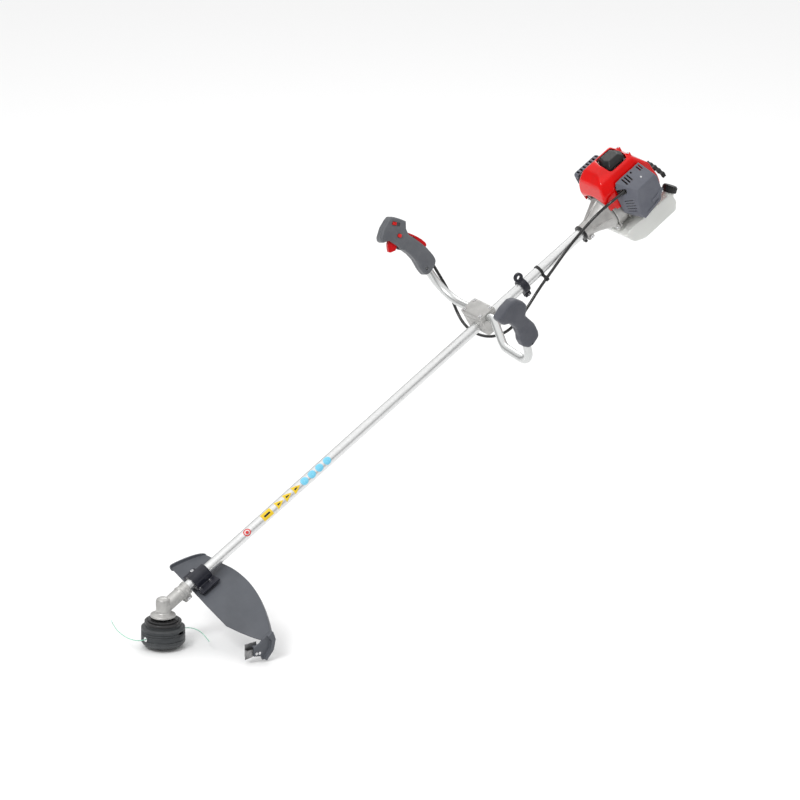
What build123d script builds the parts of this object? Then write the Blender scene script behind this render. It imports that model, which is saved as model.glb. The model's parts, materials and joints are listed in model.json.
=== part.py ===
"""Petrol string trimmer with a bike handle, in its working attitude.

The origin is the centre of the harness eye. X runs from the line head towards the engine,
Y towards the operator's right hand and Z up. Sub-parts are drawn in local frames: HEAD has
its origin where the tube axis meets the head axis, SHAFT has x along the tube, BRACKET and
ENGINE are SHAFT moved along the tube, GRIP follows the
right end of the handlebar. NECK is the filler neck within ENGINE.
"""
from build123d import *
import os
from math import atan2, cos, degrees, radians, sin, tan

# Driving dimensions, in millimetres and degrees
TILT = 30.0
TUBE_RADIUS = 14.0
TUBE_WALL = 2.0
TUBE_START = 46.0
TUBE_END = 1566.0
BRACKET_S = 1165.0
EYE_S = 1306.0
EYE_RISE = 29.0
EYE_RADIUS = 6.0
EYE_THICK = 8.0
CLIP_S = 1366.0
ENGINE_S = 1611.0
BAR_RADIUS = 11.0
BAR_RISE = 27.0
SHAFT_RADIUS = 4.0
RUN_GAP = 0.05
PINION_TEETH = 12
GEAR_TEETH = 21
CONE_DISTANCE = 15.6
CONE_INNER = 11.4
HEAD_RADIUS = 57.0
LINE_RADIUS = 1.2
LINE_HEIGHT = -70.0
CABLE_RADIUS = 4.0
CYLINDER_S = 80.0
PISTON_RADIUS = 20.0
CRANK_THROW = 16.0

HEAD = Pos(-(EYE_S * cos(radians(TILT)) - EYE_RISE * sin(radians(TILT))), 0,
           -(EYE_S * sin(radians(TILT)) + EYE_RISE * cos(radians(TILT))))
LEAN = Rot(0, -TILT, 0)
SHAFT = HEAD * LEAN
BRACKET = SHAFT * Pos(BRACKET_S, 0, 0)
ENGINE = SHAFT * Pos(ENGINE_S, 0, 0)
BAR_LEAN = 19.9
GRIP = BRACKET * Pos(0, 152, BAR_RISE) * Rot(-BAR_LEAN, 0, 0)
NECK = Pos(146, -49, -68) * Rot(0, 50, 0)


# Small drawing helpers

def save(node, shape, frame):
    """Write one sub-part in the frame of the whole object."""
    export_step(frame * shape, f"parts/{node}.step")


def block(x0, x1, y0, y1, z0, z1):
    """Box between two corners."""
    return Pos((x0 + x1) / 2, (y0 + y1) / 2, (z0 + z1) / 2) * Box(x1 - x0, y1 - y0, z1 - z0)


def soft_block(x0, x1, y0, y1, z0, z1, radius):
    """Box with all its edges rounded."""
    body = block(x0, x1, y0, y1, z0, z1)
    return fillet(body.edges(), radius)


def rod_x(radius, x0, x1, y=0.0, z=0.0):
    """Cylinder along X."""
    return Pos((x0 + x1) / 2, y, z) * Rot(0, 90, 0) * Cylinder(radius, x1 - x0)


def rod_y(radius, y0, y1, x=0.0, z=0.0):
    """Cylinder along Y."""
    return Pos(x, (y0 + y1) / 2, z) * Rot(90, 0, 0) * Cylinder(radius, y1 - y0)


def rod_z(radius, z0, z1, x=0.0, y=0.0):
    """Cylinder along Z."""
    return Pos(x, y, (z0 + z1) / 2) * Cylinder(radius, z1 - z0)


def prism_x(points, x0, x1):
    """Outline of (y, z) points between two planes across X."""
    face = make_face(Polyline(*[(x0, y, z) for y, z in points], close=True))
    return extrude(face, amount=x1 - x0, dir=(1, 0, 0))


def prism_y(points, y0, y1):
    """Outline of (x, z) points between two planes across Y."""
    face = make_face(Polyline(*[(x, y0, z) for x, z in points], close=True))
    return extrude(face, amount=y1 - y0, dir=(0, 1, 0))


def prism_z(points, z0, z1):
    """Outline of (x, y) points between two planes across Z."""
    face = make_face(Polyline(*[(x, y, z0) for x, y in points], close=True))
    return extrude(face, amount=z1 - z0, dir=(0, 0, 1))


def spun_z(points):
    """Outline of (radius, z) points turned about Z."""
    face = make_face(Polyline(*[(r, 0, z) for r, z in points], close=True))
    return revolve(face, axis=Axis.Z)


def spun_x(points):
    """Outline of (x, radius) points turned about X."""
    face = make_face(Polyline(*[(x, 0, r) for x, r in points], close=True))
    return revolve(face, axis=Axis.X)


def together(shapes):
    """Several solids as one sub-part."""
    total = shapes[0]
    for shape in shapes[1:]:
        total = total + shape
    return total


def screw(radius, length):
    """Socket screw along -Z, its head standing on Z = 0."""
    shank = rod_z(radius, -length, 0.5)
    head = rod_z(radius * 1.8, 0, radius * 1.6)
    return shank + head - rod_z(radius * 0.9, radius * 0.6, radius * 2)


def soft_radius(before, corner, after):
    """Largest tidy bend radius at one corner of a cord's route."""
    run_in = (Vector(*corner) - Vector(*before)).length
    run_out = (Vector(*after) - Vector(*corner)).length
    turn = (Vector(*corner) - Vector(*before)).get_angle(Vector(*after) - Vector(*corner))
    return 0.45 * min(run_in, run_out) / tan(radians(turn) / 2)


def cord(name, points, radius):
    """Round cord along straight runs joined by tangent arcs."""
    radii = [soft_radius(*points[i - 1:i + 2]) for i in range(1, len(points) - 1)]
    path = FilletPolyline(*points, radius=radii)
    start = Plane(origin=points[0], z_dir=Vector(*points[1]) - Vector(*points[0]))
    tube = sweep(start * Circle(radius), path=path)
    print(name, "length", round(path.length, 1), "radii", [round(r) for r in radii],
          "volume ratio", round(tube.volume / (3.14159265 * radius ** 2 * path.length), 4))
    return tube


# Shaft and gear case

def shaft_tube():
    """Main tube."""
    outer = rod_x(TUBE_RADIUS, TUBE_START, TUBE_END)
    return outer - rod_x(TUBE_RADIUS - TUBE_WALL, TUBE_START - 1, TUBE_END + 1)


def shaft_bushes():
    """Plain bushes that guide the drive shaft in the tube."""
    bushes = []
    for place in (260, 520, 780, 1040, 1290, 1490):
        ring = rod_x(TUBE_RADIUS - TUBE_WALL - 0.05, place - 15, place + 15)
        bushes.append(ring - rod_x(SHAFT_RADIUS + RUN_GAP, place - 16, place + 16))
    return together(bushes)


def bearing(outer, inner, width):
    """Ball bearing as a plain ring along X from 0 to its width."""
    ring = rod_x(outer, 0, width) - rod_x(inner, -1, width + 1)
    groove = rod_x(outer - (outer - inner) * 0.3, -1, 0.5) - rod_x(inner + (outer - inner) * 0.3, -2, 1)
    return ring - groove


def ball_bearings():
    """Bearings of pinion, output shaft, clutch drum and crankshaft, in the HEAD frame."""
    upright = Rot(0, -90, 0)
    pinion = [LEAN * Pos(x, 0, 0) * bearing(11, SHAFT_RADIUS + RUN_GAP, 7.8) for x in (19, 27)]
    upper = Pos(0, 0, 16.2) * upright * bearing(6.5, 3 + RUN_GAP, 3.8)
    lower = Pos(0, 0, -19.5) * upright * bearing(14, 5 + RUN_GAP, 8)
    drum = LEAN * Pos(ENGINE_S - 42, 0, 0) * bearing(16, SHAFT_RADIUS + RUN_GAP, 10)
    crank = [LEAN * Pos(ENGINE_S + x, 0, 0) * bearing(17, 8 + RUN_GAP, 10) for x in (38, 104)]
    return together(pinion + [upper, lower, drum] + crank)


def gear_case():
    """Cast gear case: upright barrel with a domed top and a leaning tube socket."""
    barrel = spun_z([(0, -20), (33, -20), (33, -14.5), (20, -9), (18.5, -4), (18.5, 22), (16.5, 27),
                     (11, 30.8), (0, 32)])
    socket = rod_x(17.5, 2, 87) + rod_x(19, 57, 64) + rod_x(19, 76, 87)
    ears = soft_block(60, 84, -8, 8, -31, -10, 3)
    slit = block(56, 88, -1, 1, -32, -13)
    case = barrel + LEAN * (socket + ears - slit)
    chamber = rod_z(17, -11, 11) + rod_z(14.02, -21, -10) + rod_z(6.52, 10, 20.2)
    throat = rod_x(11.02, 5, 46) + rod_x(TUBE_RADIUS + 0.02, 45, 90)
    bolt_hole = rod_y(2.5, -12, 12, 72, -24)
    return case - chamber - LEAN * (throat + bolt_hole)


def bevel_gear(teeth, cone, bore, back, phase):
    """Bevel gear with its apex at the origin and its body on the +Z side."""
    module = 2 * CONE_DISTANCE * sin(radians(cone)) / teeth
    rise = 0.75 * module
    drop = 0.95 * module
    half = 0.19 * 3.14159265 * module
    slope = tan(radians(20))
    inner = CONE_INNER / CONE_DISTANCE

    def spot(height, scale):
        """(radius, z) at a height above the pitch cone."""
        radius = CONE_DISTANCE * sin(radians(cone)) + height * cos(radians(cone))
        level = CONE_DISTANCE * cos(radians(cone)) - height * sin(radians(cone))
        return radius * scale, level * scale

    root_out = spot(-drop, 1)
    root_in = spot(-drop, inner)
    floor = root_in[1] + 1.0
    blank = spun_z([root_out, (root_out[0], back), (bore, back), (bore, floor),
                    (root_in[0] - 0.6, floor), root_in])
    faces = []
    for scale in (1, inner):
        low = spot(-drop - 0.3, scale)
        high = spot(rise, scale)
        wide = (half + drop * slope) * scale
        narrow = (half - rise * slope) * scale
        corners = [(low[0], -wide, low[1]), (low[0], wide, low[1]),
                   (high[0], narrow, high[1]), (high[0], -narrow, high[1])]
        faces.append(make_face(Polyline(*corners, close=True)))
    tooth = loft(faces, ruled=True)
    return blank + [Rot(0, 0, phase + 360 * index / teeth) * tooth for index in range(teeth)]


PINION_CONE = degrees(atan2(sin(radians(90 + TILT)), GEAR_TEETH / PINION_TEETH + cos(radians(90 + TILT))))
GEAR_CONE = 90 + TILT - PINION_CONE


def drive_shaft():
    """Solid shaft from the pinion to the clutch drum."""
    return rod_x(SHAFT_RADIUS, 12, ENGINE_S - 22)


def output_shaft():
    """Upright shaft that carries the line head."""
    return rod_z(3, -4, 20) + rod_z(5, -48, -3)


# Line head

def head_flange():
    """Stepped black disc above the line head."""
    return spun_z([(5.02, -22), (9, -22), (9, -25.5), (38, -25.5), (41, -27), (41, -30), (46.5, -30.5),
                   (48, -32), (48, -36), (46, -38), (5.02, -38)])


def head_housing():
    """Upper shell of the line head, with rings of grooves and two latch windows."""
    outline = [(5.02, -38.3), (44, -38.3), (45, -43), (52, -44.5), (HEAD_RADIUS - 0.5, -48)]
    for groove in (-56, -62, -76):
        outline += [(HEAD_RADIUS, groove + 1.4), (HEAD_RADIUS - 1.5, groove), (HEAD_RADIUS, groove - 1.4)]
    outline += [(HEAD_RADIUS, -79), (53, -79), (53, -50), (5.02, -50)]
    shell = spun_z(outline)
    windows = together([Rot(0, 0, turn) * block(50, 60, -11, 11, -60, -52) for turn in (-68, 112)])
    holes = together([Rot(0, 0, turn) * rod_x(4.02, 50, 60, 0, LINE_HEIGHT) for turn in (6, 186)])
    return shell - windows - holes


def head_cover():
    """Lower cover of the line head."""
    return spun_z([(52.8, -77), (52.8, -79.2), (HEAD_RADIUS, -79.2), (HEAD_RADIUS, -86), (53, -92), (28, -92),
                   (28, -89), (50, -89), (50, -77)])


def line_eyelets():
    """Metal eyelets that the two lines leave through."""
    eyelet = rod_x(4, 52, 59) + rod_x(6, 57.3, 59.3) - rod_x(2, 51, 60)
    eyelet = Pos(0, 0, LINE_HEIGHT) * eyelet
    return Rot(0, 0, 6) * eyelet + Rot(0, 0, 186) * eyelet


def trimmer_line(name, points):
    """One free length of trimmer line from its eyelet."""
    return cord(name, [(x, y, LINE_HEIGHT + drop) for x, y, drop in points], LINE_RADIUS)


FRONT_LINE = [(-56, -5.9, 0), (-78, -8, 0), (-91, 20, 0), (-88, 61, -1), (-75, 112, -2), (-52, 164, -3)]
REAR_LINE = [(56, 5.9, 0), (78, 8, 0), (91, -20, 0), (87, -58, -1), (71, -106, -2)]


def line_spool():
    """Spool with two line chambers."""
    core = rod_z(22, -83, -56)
    rims = rod_z(49, -83, -80.5) + rod_z(49, -71, -69) + rod_z(49, -58.5, -56)
    return core + rims - rod_z(6, -80, -55)


def bump_knob():
    """Knob under the head that feeds line when it is pressed on the ground."""
    return spun_z([(0, -83.2), (25, -83.2), (26, -95), (22, -100), (15, -102), (0, -102)])


# Guard

GUARD_SECTION = [(112, -9), (96, -16), (60, -21), (10, -25.5), (-45, -28), (-85, -40), (-140, -63), (-182, -88),
                 (-232, -112)]
GUARD_PLAN = [(120, 118), (160, 112), (200, 80), (205, 30), (207, -30), (206, -85), (198, -125), (184, -160),
              (162, -196), (136, -232), (106, -232), (88, -185), (74, -145), (80, -95), (87, -45), (104, 35)]


def guard_shell(depth):
    """Curved sheet of the guard's cross-section, between its face and a depth below it."""
    top = [(60, y, z) for y, z in GUARD_SECTION]
    low = [(60, y, z - depth) for y, z in reversed(GUARD_SECTION)]
    rim = [Spline(*top), Line(top[-1], low[0]), Spline(*low), Line(low[-1], top[0])]
    return extrude(make_face(rim), amount=160, dir=(1, 0, 0))


def guard_shield():
    """Debris guard with a downturned rear rim and an upturned far wing."""
    plan = prism_z(GUARD_PLAN, -200, 60)
    inner_plan = prism_z([(x - 3, y) for x, y in GUARD_PLAN], -200, 60)
    sheet = guard_shell(3) & plan
    front = prism_z([(60, 130), (60, -160), (140, -160), (140, 130)], -200, 60)
    rim = (guard_shell(12) & plan) - inner_plan - front
    wing = prism_x([(108, -14), (113, -11), (119, 1), (116, 2.5)], 121, 158)
    holes = rod_z(2.6, -60, 0, 106, -28) + rod_z(2.6, -60, 0, 140, -28) + rod_z(2.6, -60, 0, 138, 50)
    return sheet + rim + wing - holes


def guard_clamp():
    """Black clamp that holds the guard under the tube."""
    dome = rod_x(20, 102, 156) + block(102, 156, -21, 21, -20, 2)
    flange = block(98, 158, -48, -20, -19, -13) + block(110, 150, 20, 60, -17, -12)
    body = dome + flange
    bore = rod_x(TUBE_RADIUS + 0.02, 100, 160)
    holes = rod_z(2.6, -30, 0, 106, -28) + rod_z(2.6, -30, 0, 140, -28) + rod_z(2.6, -30, 0, 138, 50)
    clear = block(90, 165, -60, 62, -40, -20)
    return body - bore - holes - clear


def guard_skirt():
    """Curved end piece that carries the line cutting knife, in the HEAD frame."""
    panel = prism_y([(141, -50), (148, -42), (174, -27), (179, -47), (173, -72), (155, -97), (148, -98),
                     (143, -87), (122, -84), (122, -60), (130, -56)], -238, -232.1)
    rib = prism_y([(160, -34), (176, -24), (184, -46), (178, -74), (156, -99), (150, -95), (168, -70), (172, -48)],
                  -246, -236)
    shelf = block(124, 140, -233, -222, -64, -58)
    holes = rod_y(2.1, -270, -220, 127.5, -76) + rod_y(2.1, -270, -220, 137, -76)
    return panel + rib + shelf - holes


def line_cutter_blade():
    """Knife that trims the line to length, in the HEAD frame."""
    plate = prism_y([(104, -52), (139, -50), (141, -88), (105, -94)], -221.8, -220)
    foot = prism_y([(104, -66), (139, -66), (140, -85), (105, -85)], -232, -230.5)
    web = block(104, 106, -232, -220, -85, -66)
    return plate + foot + web - rod_y(2.1, -240, -226, 127.5, -76) - rod_y(2.1, -240, -226, 137, -76)


# Handlebar and its bracket

def handle_bracket():
    """Cast lower half of the bracket, clamped round the tube."""
    lower = soft_block(-26, 26, -42, 48, -20, 26.7, 5)
    body = lower - block(-40, 40, -24, 24, -30, -17.5)
    body = body - rod_x(TUBE_RADIUS + 0.02, -40, 40) - rod_y(BAR_RADIUS + 0.02, -60, 60, 0, BAR_RISE)
    body = body - block(-40, 40, 16, 60, -0.8, 0.8)
    for x in (-18, 18):
        for y in (-33, 38):
            body = body - rod_z(2.5, 8, 30, x, y)
    return body


def bracket_cap():
    """Cast cap that holds the handlebar down."""
    cap = soft_block(-26, 26, -42, 48, 20, 42, 4)
    cap = cap - block(-40, 40, -60, 60, 0, 27.3) - rod_y(BAR_RADIUS + 0.02, -60, 60, 0, BAR_RISE)
    for x in (-18, 18):
        for y in (-33, 38):
            cap = cap - rod_z(2.6, 20, 50, x, y) - rod_z(5, 39, 50, x, y)
    return cap


BAR_TOP = (7.2, 152 + 185 * sin(radians(BAR_LEAN)), BAR_RISE + 185 * cos(radians(BAR_LEAN)))
BAR_ROUTE = [(-12, -272, 150), (-50, -262, -15), (-44, -140, -5), (0, -62, BAR_RISE), (0, 152, BAR_RISE), BAR_TOP]


def handlebar():
    """One bent tube through the bracket."""
    path = FilletPolyline(*BAR_ROUTE, radius=[45, 60, 40, 100])
    start = Plane(origin=BAR_ROUTE[0], z_dir=Vector(*BAR_ROUTE[1]) - Vector(*BAR_ROUTE[0]))
    outer = sweep(start * Circle(BAR_RADIUS), path=path)
    inner = sweep(start * Circle(BAR_RADIUS - TUBE_WALL), path=path)
    return outer - inner


GRIP_OUTLINE = [(5, 266), (12, 259), (22, 245), (31, 229), (19, 214), (15, 198), (21, 181), (28, 160), (33, 138),
                (35, 115), (34, 102), (31, 95), (22, 88), (2, 82), (-9, 82), (-16, 87), (-17, 104), (-13, 135),
                (-15, 155), (-20, 172), (-28, 182), (-27, 190), (-33, 205), (-38, 219.5), (-47, 223), (-55, 226),
                (-58, 233), (-53, 242), (-30, 257), (-6, 265)]
TRIGGER_SLOT = [(-60, 219.5), (-38, 219.5), (-30, 232), (-10, 232), (-4, 215), (-6, 192), (-20, 181), (-60, 168)]
LEVER_SLOT = [(2, 187), (2, 209), (22, 209), (50, 176), (50, 131), (17.6, 131), (17.6, 184), (12, 184), (12, 187)]
TRIGGER_PIVOT = (-18, 223)
LEVER_PIVOT = (11, 198)
SWITCH_PLACE = (3.9, 242)
SWITCH_TURN = 50.0
LOCK_BUTTON = (-9, 213)
GRIP_HALF = 18.0
BAR_SLOPE = degrees(atan2(7.2, 185))


def grip_body():
    """Throttle handle as one rounded body with its bar hole and control slots, in the GRIP frame."""
    body = prism_y(GRIP_OUTLINE, -GRIP_HALF, GRIP_HALF)
    flat_edges = body.edges().filter_by_position(Axis.Y, -GRIP_HALF - 0.1, -GRIP_HALF + 0.1)
    far_edges = body.edges().filter_by_position(Axis.Y, GRIP_HALF - 0.1, GRIP_HALF + 0.1)
    body = chamfer(flat_edges + far_edges, 4)
    body = body - Rot(0, BAR_SLOPE, 0) * rod_z(BAR_RADIUS + 0.02, -10, 186)
    body = body - prism_y(TRIGGER_SLOT, -6.8, 6.8) - prism_y(LEVER_SLOT, -8.4, 8.4)
    body = body - rod_y(3.05, -9.5, 9.5, *TRIGGER_PIVOT) - rod_y(3.05, -11, 11, *LEVER_PIVOT)
    recess = block(-11.5, 11.5, -25, -GRIP_HALF + 5, -4.5, 4.5)
    body = body - Pos(SWITCH_PLACE[0], 0, SWITCH_PLACE[1]) * Rot(0, SWITCH_TURN, 0) * recess
    body = body - rod_y(5.3, -25, -11, *LOCK_BUTTON) - rod_y(2.6, -25, 25, -1.6, 95.6)
    return body - rod_y(5, -25, -15.5, -1.6, 95.6) - rod_z(CABLE_RADIUS + 0.3, 70, 100, 22, 3)


def throttle_trigger():
    """Red throttle trigger with its pivot, in the GRIP frame."""
    blade = prism_y([(-37, 218.5), (-44, 214), (-50, 205), (-55, 196), (-52, 191), (-38, 186.5), (-29, 191),
                     (-22, 205), (-14, 219), (-14, 227), (-22, 228.5), (-30, 226)], -6.2, 6.2)
    return blade + rod_y(3, -9, 9, *TRIGGER_PIVOT)


def lockout_lever():
    """Red safety lever on the back of the handle, in the GRIP frame."""
    blade = prism_y([(7, 203), (17, 203), (24, 192), (32, 177), (38, 162), (41, 148), (39, 142), (31, 139),
                     (27, 150), (26, 165), (23.5, 183), (10, 194.5)], -7.6, 7.6)
    return blade + rod_y(3, -10.5, 10.5, *LEVER_PIVOT)


def stop_switch():
    """Red sliding stop switch at the start of its recess, in the GRIP frame."""
    knob = block(-10.8, -1.5, -22.5, -GRIP_HALF + 4.4, -3.8, 3.8)
    ridges = together([block(x, x + 1.2, -23.3, -22, -3.4, 3.4) for x in (-9.5, -6.8, -4.1)])
    return Pos(SWITCH_PLACE[0], 0, SWITCH_PLACE[1]) * Rot(0, SWITCH_TURN, 0) * (knob + ridges)


def left_grip():
    """Plain left grip with a hand stop across its top, in the BRACKET frame."""
    outline = [(-20, 194), (-6, 187), (7, 169), (11, 154), (6, 143), (-6, 130), (-2, 116), (5, 92), (4, 66),
               (-2, 52), (-27, 43.5), (-42, 46), (-53, 60), (-53, 80), (-47, 92), (-45, 117), (-53, 142),
               (-72, 153), (-79, 172), (-78, 180), (-49, 191)]
    body = prism_y(outline, -289, -254)
    near = body.edges().filter_by_position(Axis.Y, -289.1, -288.9)
    far = body.edges().filter_by_position(Axis.Y, -254.1, -253.9)
    body = chamfer(near + far, 6)
    hole = Plane(origin=BAR_ROUTE[1], z_dir=Vector(*BAR_ROUTE[0]) - Vector(*BAR_ROUTE[1]))
    bore = hole * (Pos(0, 0, 96) * Cylinder(BAR_RADIUS + 0.02, 155))
    return body - bore - rod_y(2.6, -295, -283, -29, 51)


# Small pieces on the tube

def harness_clamp():
    """Ribbed clamp with the harness eye on top, in the SHAFT frame."""
    ring = rod_x(20, EYE_S - 10, EYE_S + 10)
    ribs = together([rod_x(21.2, EYE_S + x - 1.2, EYE_S + x + 1.2) for x in (-7, 0, 7)])
    plate = rod_y(13, -EYE_THICK / 2, EYE_THICK / 2, EYE_S, EYE_RISE)
    neck = block(EYE_S - 10, EYE_S + 10, -EYE_THICK / 2, EYE_THICK / 2, 14, EYE_RISE)
    lug = block(EYE_S - 9, EYE_S + 9, -6, 6, -34, -15)
    body = ring + ribs + plate + neck + lug - block(EYE_S - 20, EYE_S + 20, -1, 1, -40, -13)
    body = body - rod_y(EYE_RADIUS, -20, 20, EYE_S, EYE_RISE) - rod_y(2.6, -20, 20, EYE_S, -28)
    return body - rod_x(TUBE_RADIUS + 0.02, EYE_S - 30, EYE_S + 30)


def cable_clip():
    """Plastic clip that ties the throttle cable to the tube, in the SHAFT frame."""
    ring = rod_x(16, CLIP_S - 4, CLIP_S + 4) + rod_x(7.5, CLIP_S - 4, CLIP_S + 4, -21, -19)
    ring = ring + Pos(CLIP_S, -14, -13.3) * Rot(43.5, 0, 0) * Box(8, 10, 5)
    ring = ring - rod_x(TUBE_RADIUS + 0.02, CLIP_S - 9, CLIP_S + 9)
    return ring - rod_x(CABLE_RADIUS + 1.4, CLIP_S - 9, CLIP_S + 9, -21, -19)


CABLE_ROUTE = [(26, 190, 104), (21, 172, 55), (17, 165, 12), (4, 150, -24), (-10, 118, -50), (-12, 75, -68),
               (4, 30, -78), (38, -2, -77), (82, -15, -63), (130, -21, -42), (170, -22, -26), (232, -20, -11),
               (290, -25, 10), (345, -29, 24), (402, -40, 40), (441, -66, 58), (478, -75, 62), (506, -74, 62)]


# Engine

def clutch_housing():
    """Cast cone between the tube and the engine."""
    cone = spun_x([(-85, 0), (-85, 19), (-62, 20.5), (-10, 45), (-6, 49), (0, 49), (0, 0)])
    lug = soft_block(-82, -62, -9, 9, -32, -12, 3) - block(-90, -55, -1, 1, -40, -13)
    ribs = together([Rot(turn, 0, 0) * prism_y([(-60, 18), (-60, 27), (-8, 47), (-8, 40)], -2, 2)
                     for turn in (0, 90, 180, 270)])
    ears = together([Rot(turn, 0, 0) * rod_x(7, -6, 0, 0, 53.5) for turn in (45, 135, 225, 315)])
    body = cone + lug + ribs + ears
    body = body - rod_x(TUBE_RADIUS + 0.02, -90, -44.5) - rod_x(16.02, -46, -30)
    body = body - spun_x([(-31, 0), (-31, 24), (-26, 34), (-20, 37), (-8, 42), (1, 42), (1, 0)])
    holes = together([Rot(turn, 0, 0) * rod_x(2.6, -10, 5, 0, 53.5) for turn in (45, 135, 225, 315)])
    return body - holes - rod_y(2.5, -12, 12, -72, -24)


def tube_collar():
    """Black rubber-lined collar where the tube enters the clutch housing."""
    ring = rod_x(21, -93, -85.3) + block(-93, -85.3, -6, 6, -30, -14)
    return ring - rod_x(TUBE_RADIUS + 0.02, -100, -80) - block(-100, -80, -1, 1, -40, -13)


def clutch_drum():
    """Clutch drum on the drive shaft."""
    cup = rod_x(36, -20, -3) + rod_x(12, -28, -17)
    return cup - rod_x(33.5, -17, 0) - rod_x(SHAFT_RADIUS + 0.02, -30, -21.9)


def clutch_shoes():
    """Two centrifugal clutch shoes on the front of the crankshaft."""
    ring = rod_x(32.6, -15, -5) - rod_x(20, -16, -4)
    arms = block(-13, -7, -22, 22, -6, 6) - rod_x(6.02, -16, -4)
    return ring - block(-17, -3, -50, 50, -1.5, 1.5) + arms


def flywheel():
    """Flywheel with cooling fan blades."""
    disc = rod_x(45, 8, 12) + rod_x(14, 5, 24)
    blades = together([Rot(30 * i, 0, 0) * block(11.9, 24, -1.2, 1.2, 26, 44) for i in range(12)])
    return disc + blades - rod_x(6.02, 3, 26)


def crankshaft():
    """Crankshaft with two full disc webs."""
    front = rod_x(6, -15, 26) + rod_x(8, 26, 60)
    rear = rod_x(8, 100, 116) + rod_x(6, 116, 132)
    webs = rod_x(28, 60, 68) + rod_x(28, 92, 100)
    return front + rear + webs


def crankcase():
    """Cast crankcase with the fan housing in front of it."""
    fan = rod_x(52, 1, 30) - rod_x(48, 4, 31)
    case = rod_x(40, 30, 118) + rod_x(52, 28, 32) + block(42, 118, -34, 34, 0, 41)
    chamber = rod_x(30, 52, 103) + block(58, 102, -22, 22, 0, 42)
    seats = rod_x(17.02, 38, 48.1) + rod_x(17.02, 103, 114.1) + rod_x(8.4, 20, 130)
    front = rod_x(14.8, 0, 5)
    ears = together([Rot(turn, 0, 0) * rod_x(7, 1, 7, 0, 53.5) for turn in (45, 135, 225, 315)])
    feet = block(40, 60, -30, 30, -49, -30) + block(95, 115, -30, 30, -49, -30)
    holes = together([Rot(turn, 0, 0) * rod_x(2.5, 0, 12, 0, 53.5) for turn in (45, 135, 225, 315)])
    return fan + case + ears + feet - chamber - seats - front - holes - rod_x(16, 28, 37)


def cylinder():
    """Finned engine cylinder."""
    barrel = rod_z(25, 41.3, 99, CYLINDER_S, 0) + block(48, 112, -32, 32, 41.3, 45)
    fins = together([block(CYLINDER_S - 33, CYLINDER_S + 33, -31, 31, z, z + 2) for z in range(50, 102, 6)])
    return barrel + fins - rod_z(PISTON_RADIUS + 0.05, 40, 92, CYLINDER_S, 0) - rod_z(5.02, 90, 110, CYLINDER_S, 0)


def piston():
    """Piston at the top of its stroke."""
    body = rod_z(PISTON_RADIUS, 58, 88, CYLINDER_S, 0) - rod_z(16, 57, 82, CYLINDER_S, 0)
    for level in (84, 80.5):
        body = body - (rod_z(21, level, level + 1, CYLINDER_S, 0) - rod_z(19, level - 1, level + 2, CYLINDER_S, 0))
    return body - rod_y(4.02, -25, 25, CYLINDER_S, 70)


def connecting_rod():
    """Connecting rod with its crank pin and piston pin."""
    big_end = rod_x(11, 74, 86, 0, CRANK_THROW) - rod_x(6.02, 70, 90, 0, CRANK_THROW)
    shank = block(77, 83, -4, 4, CRANK_THROW + 9, 64)
    small_end = rod_x(7, 75.5, 84.5, 0, 70) - rod_x(5, 70, 90, 0, 70)
    crank_pin = rod_x(6, 68.3, 91.7, 0, CRANK_THROW)
    return big_end + shank + small_end + crank_pin


def spark_plug():
    """Spark plug in the cylinder head."""
    return together([rod_z(5, 92.5, 101, CYLINDER_S, 0), rod_z(9, 101, 107, CYLINDER_S, 0),
                     rod_z(5.5, 107, 124, CYLINDER_S, 0), rod_z(2.5, 124, 128, CYLINDER_S, 0)])


def plug_cap():
    """Faceted black cover over the spark plug."""
    foot = [(54, -36, 112), (106, -36, 112), (114, -11, 112), (106, 15, 112), (56, 16, 112), (48, -11, 112)]
    shoulder = [(x, y, 122) for x, y, z in foot]
    crown = [(65, -29, 133), (96, -29, 133), (102, -10, 133), (96, 9, 133), (65, 11, 133), (59, -11, 133)]
    lower = loft([make_face(Polyline(*foot, close=True)), make_face(Polyline(*shoulder, close=True))], ruled=True)
    upper = loft([make_face(Polyline(*shoulder, close=True)), make_face(Polyline(*crown, close=True))], ruled=True)
    skin = lower + upper
    return skin - rod_z(9.5, 100, 130, CYLINDER_S, 0)


SHROUD_SIDE = [(-10, 22), (-14, 62), (-4, 98), (20, 122), (42, 131), (108, 129), (138, 84), (152, 62),
               (156, 6), (60, 6)]

SHROUD_END = [(-56, 0), (-57, 70), (-46, 108), (-20, 128), (0, 133), (20, 131), (42, 116), (56, 80), (57, 0)]


def shroud_body(inset):
    """Rounded outer form of the engine shroud, shrunk by an inset."""
    side = prism_y([(x + (inset if x < 60 else -inset), z - (inset if z > 40 else -inset))
                    for x, z in SHROUD_SIDE], -56 + inset, 56 - inset)
    ends = prism_x([(y * (1 - inset / 50), 40 + (z - 40) * (1 - inset / 60))
                    for y, z in SHROUD_END], -30, 170)
    return side & ends


def engine_shroud():
    """Red shroud over the cylinder, open below, with side windows for filter and muffler."""
    skin = shroud_body(0) - shroud_body(3)
    skin = skin - block(-30, 170, -70, 70, -20, 9.5) - block(0, 140, -50, 50, 0, 15)
    skin = skin - block(-40, 50, -52, 52, -10, 46) & block(-40, 200, -80, 80, 9.5, 200)
    skin = skin - prism_z([(52, -38), (108, -38), (116.5, -11), (108, 17), (54, 18), (45.5, -11)], 108, 150)
    skin = skin - block(34, 118, -70, -48, -10, 77) - block(6, 84, 45, 70, 25, 100)
    bosses = rod_z(6, 104, 119, 121, 9) + rod_z(6, 100, 115, 121, -33)
    round_fan = rod_x(52.4, -30, 33) + rod_x(61.5, -30, 8)
    round_starter = rod_x(46.4, 118, 200)
    threads = rod_z(2.1, 106, 140, 121, 9) + rod_z(2.1, 103, 140, 121, -33)
    return skin + bosses - round_fan - round_starter - threads


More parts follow.
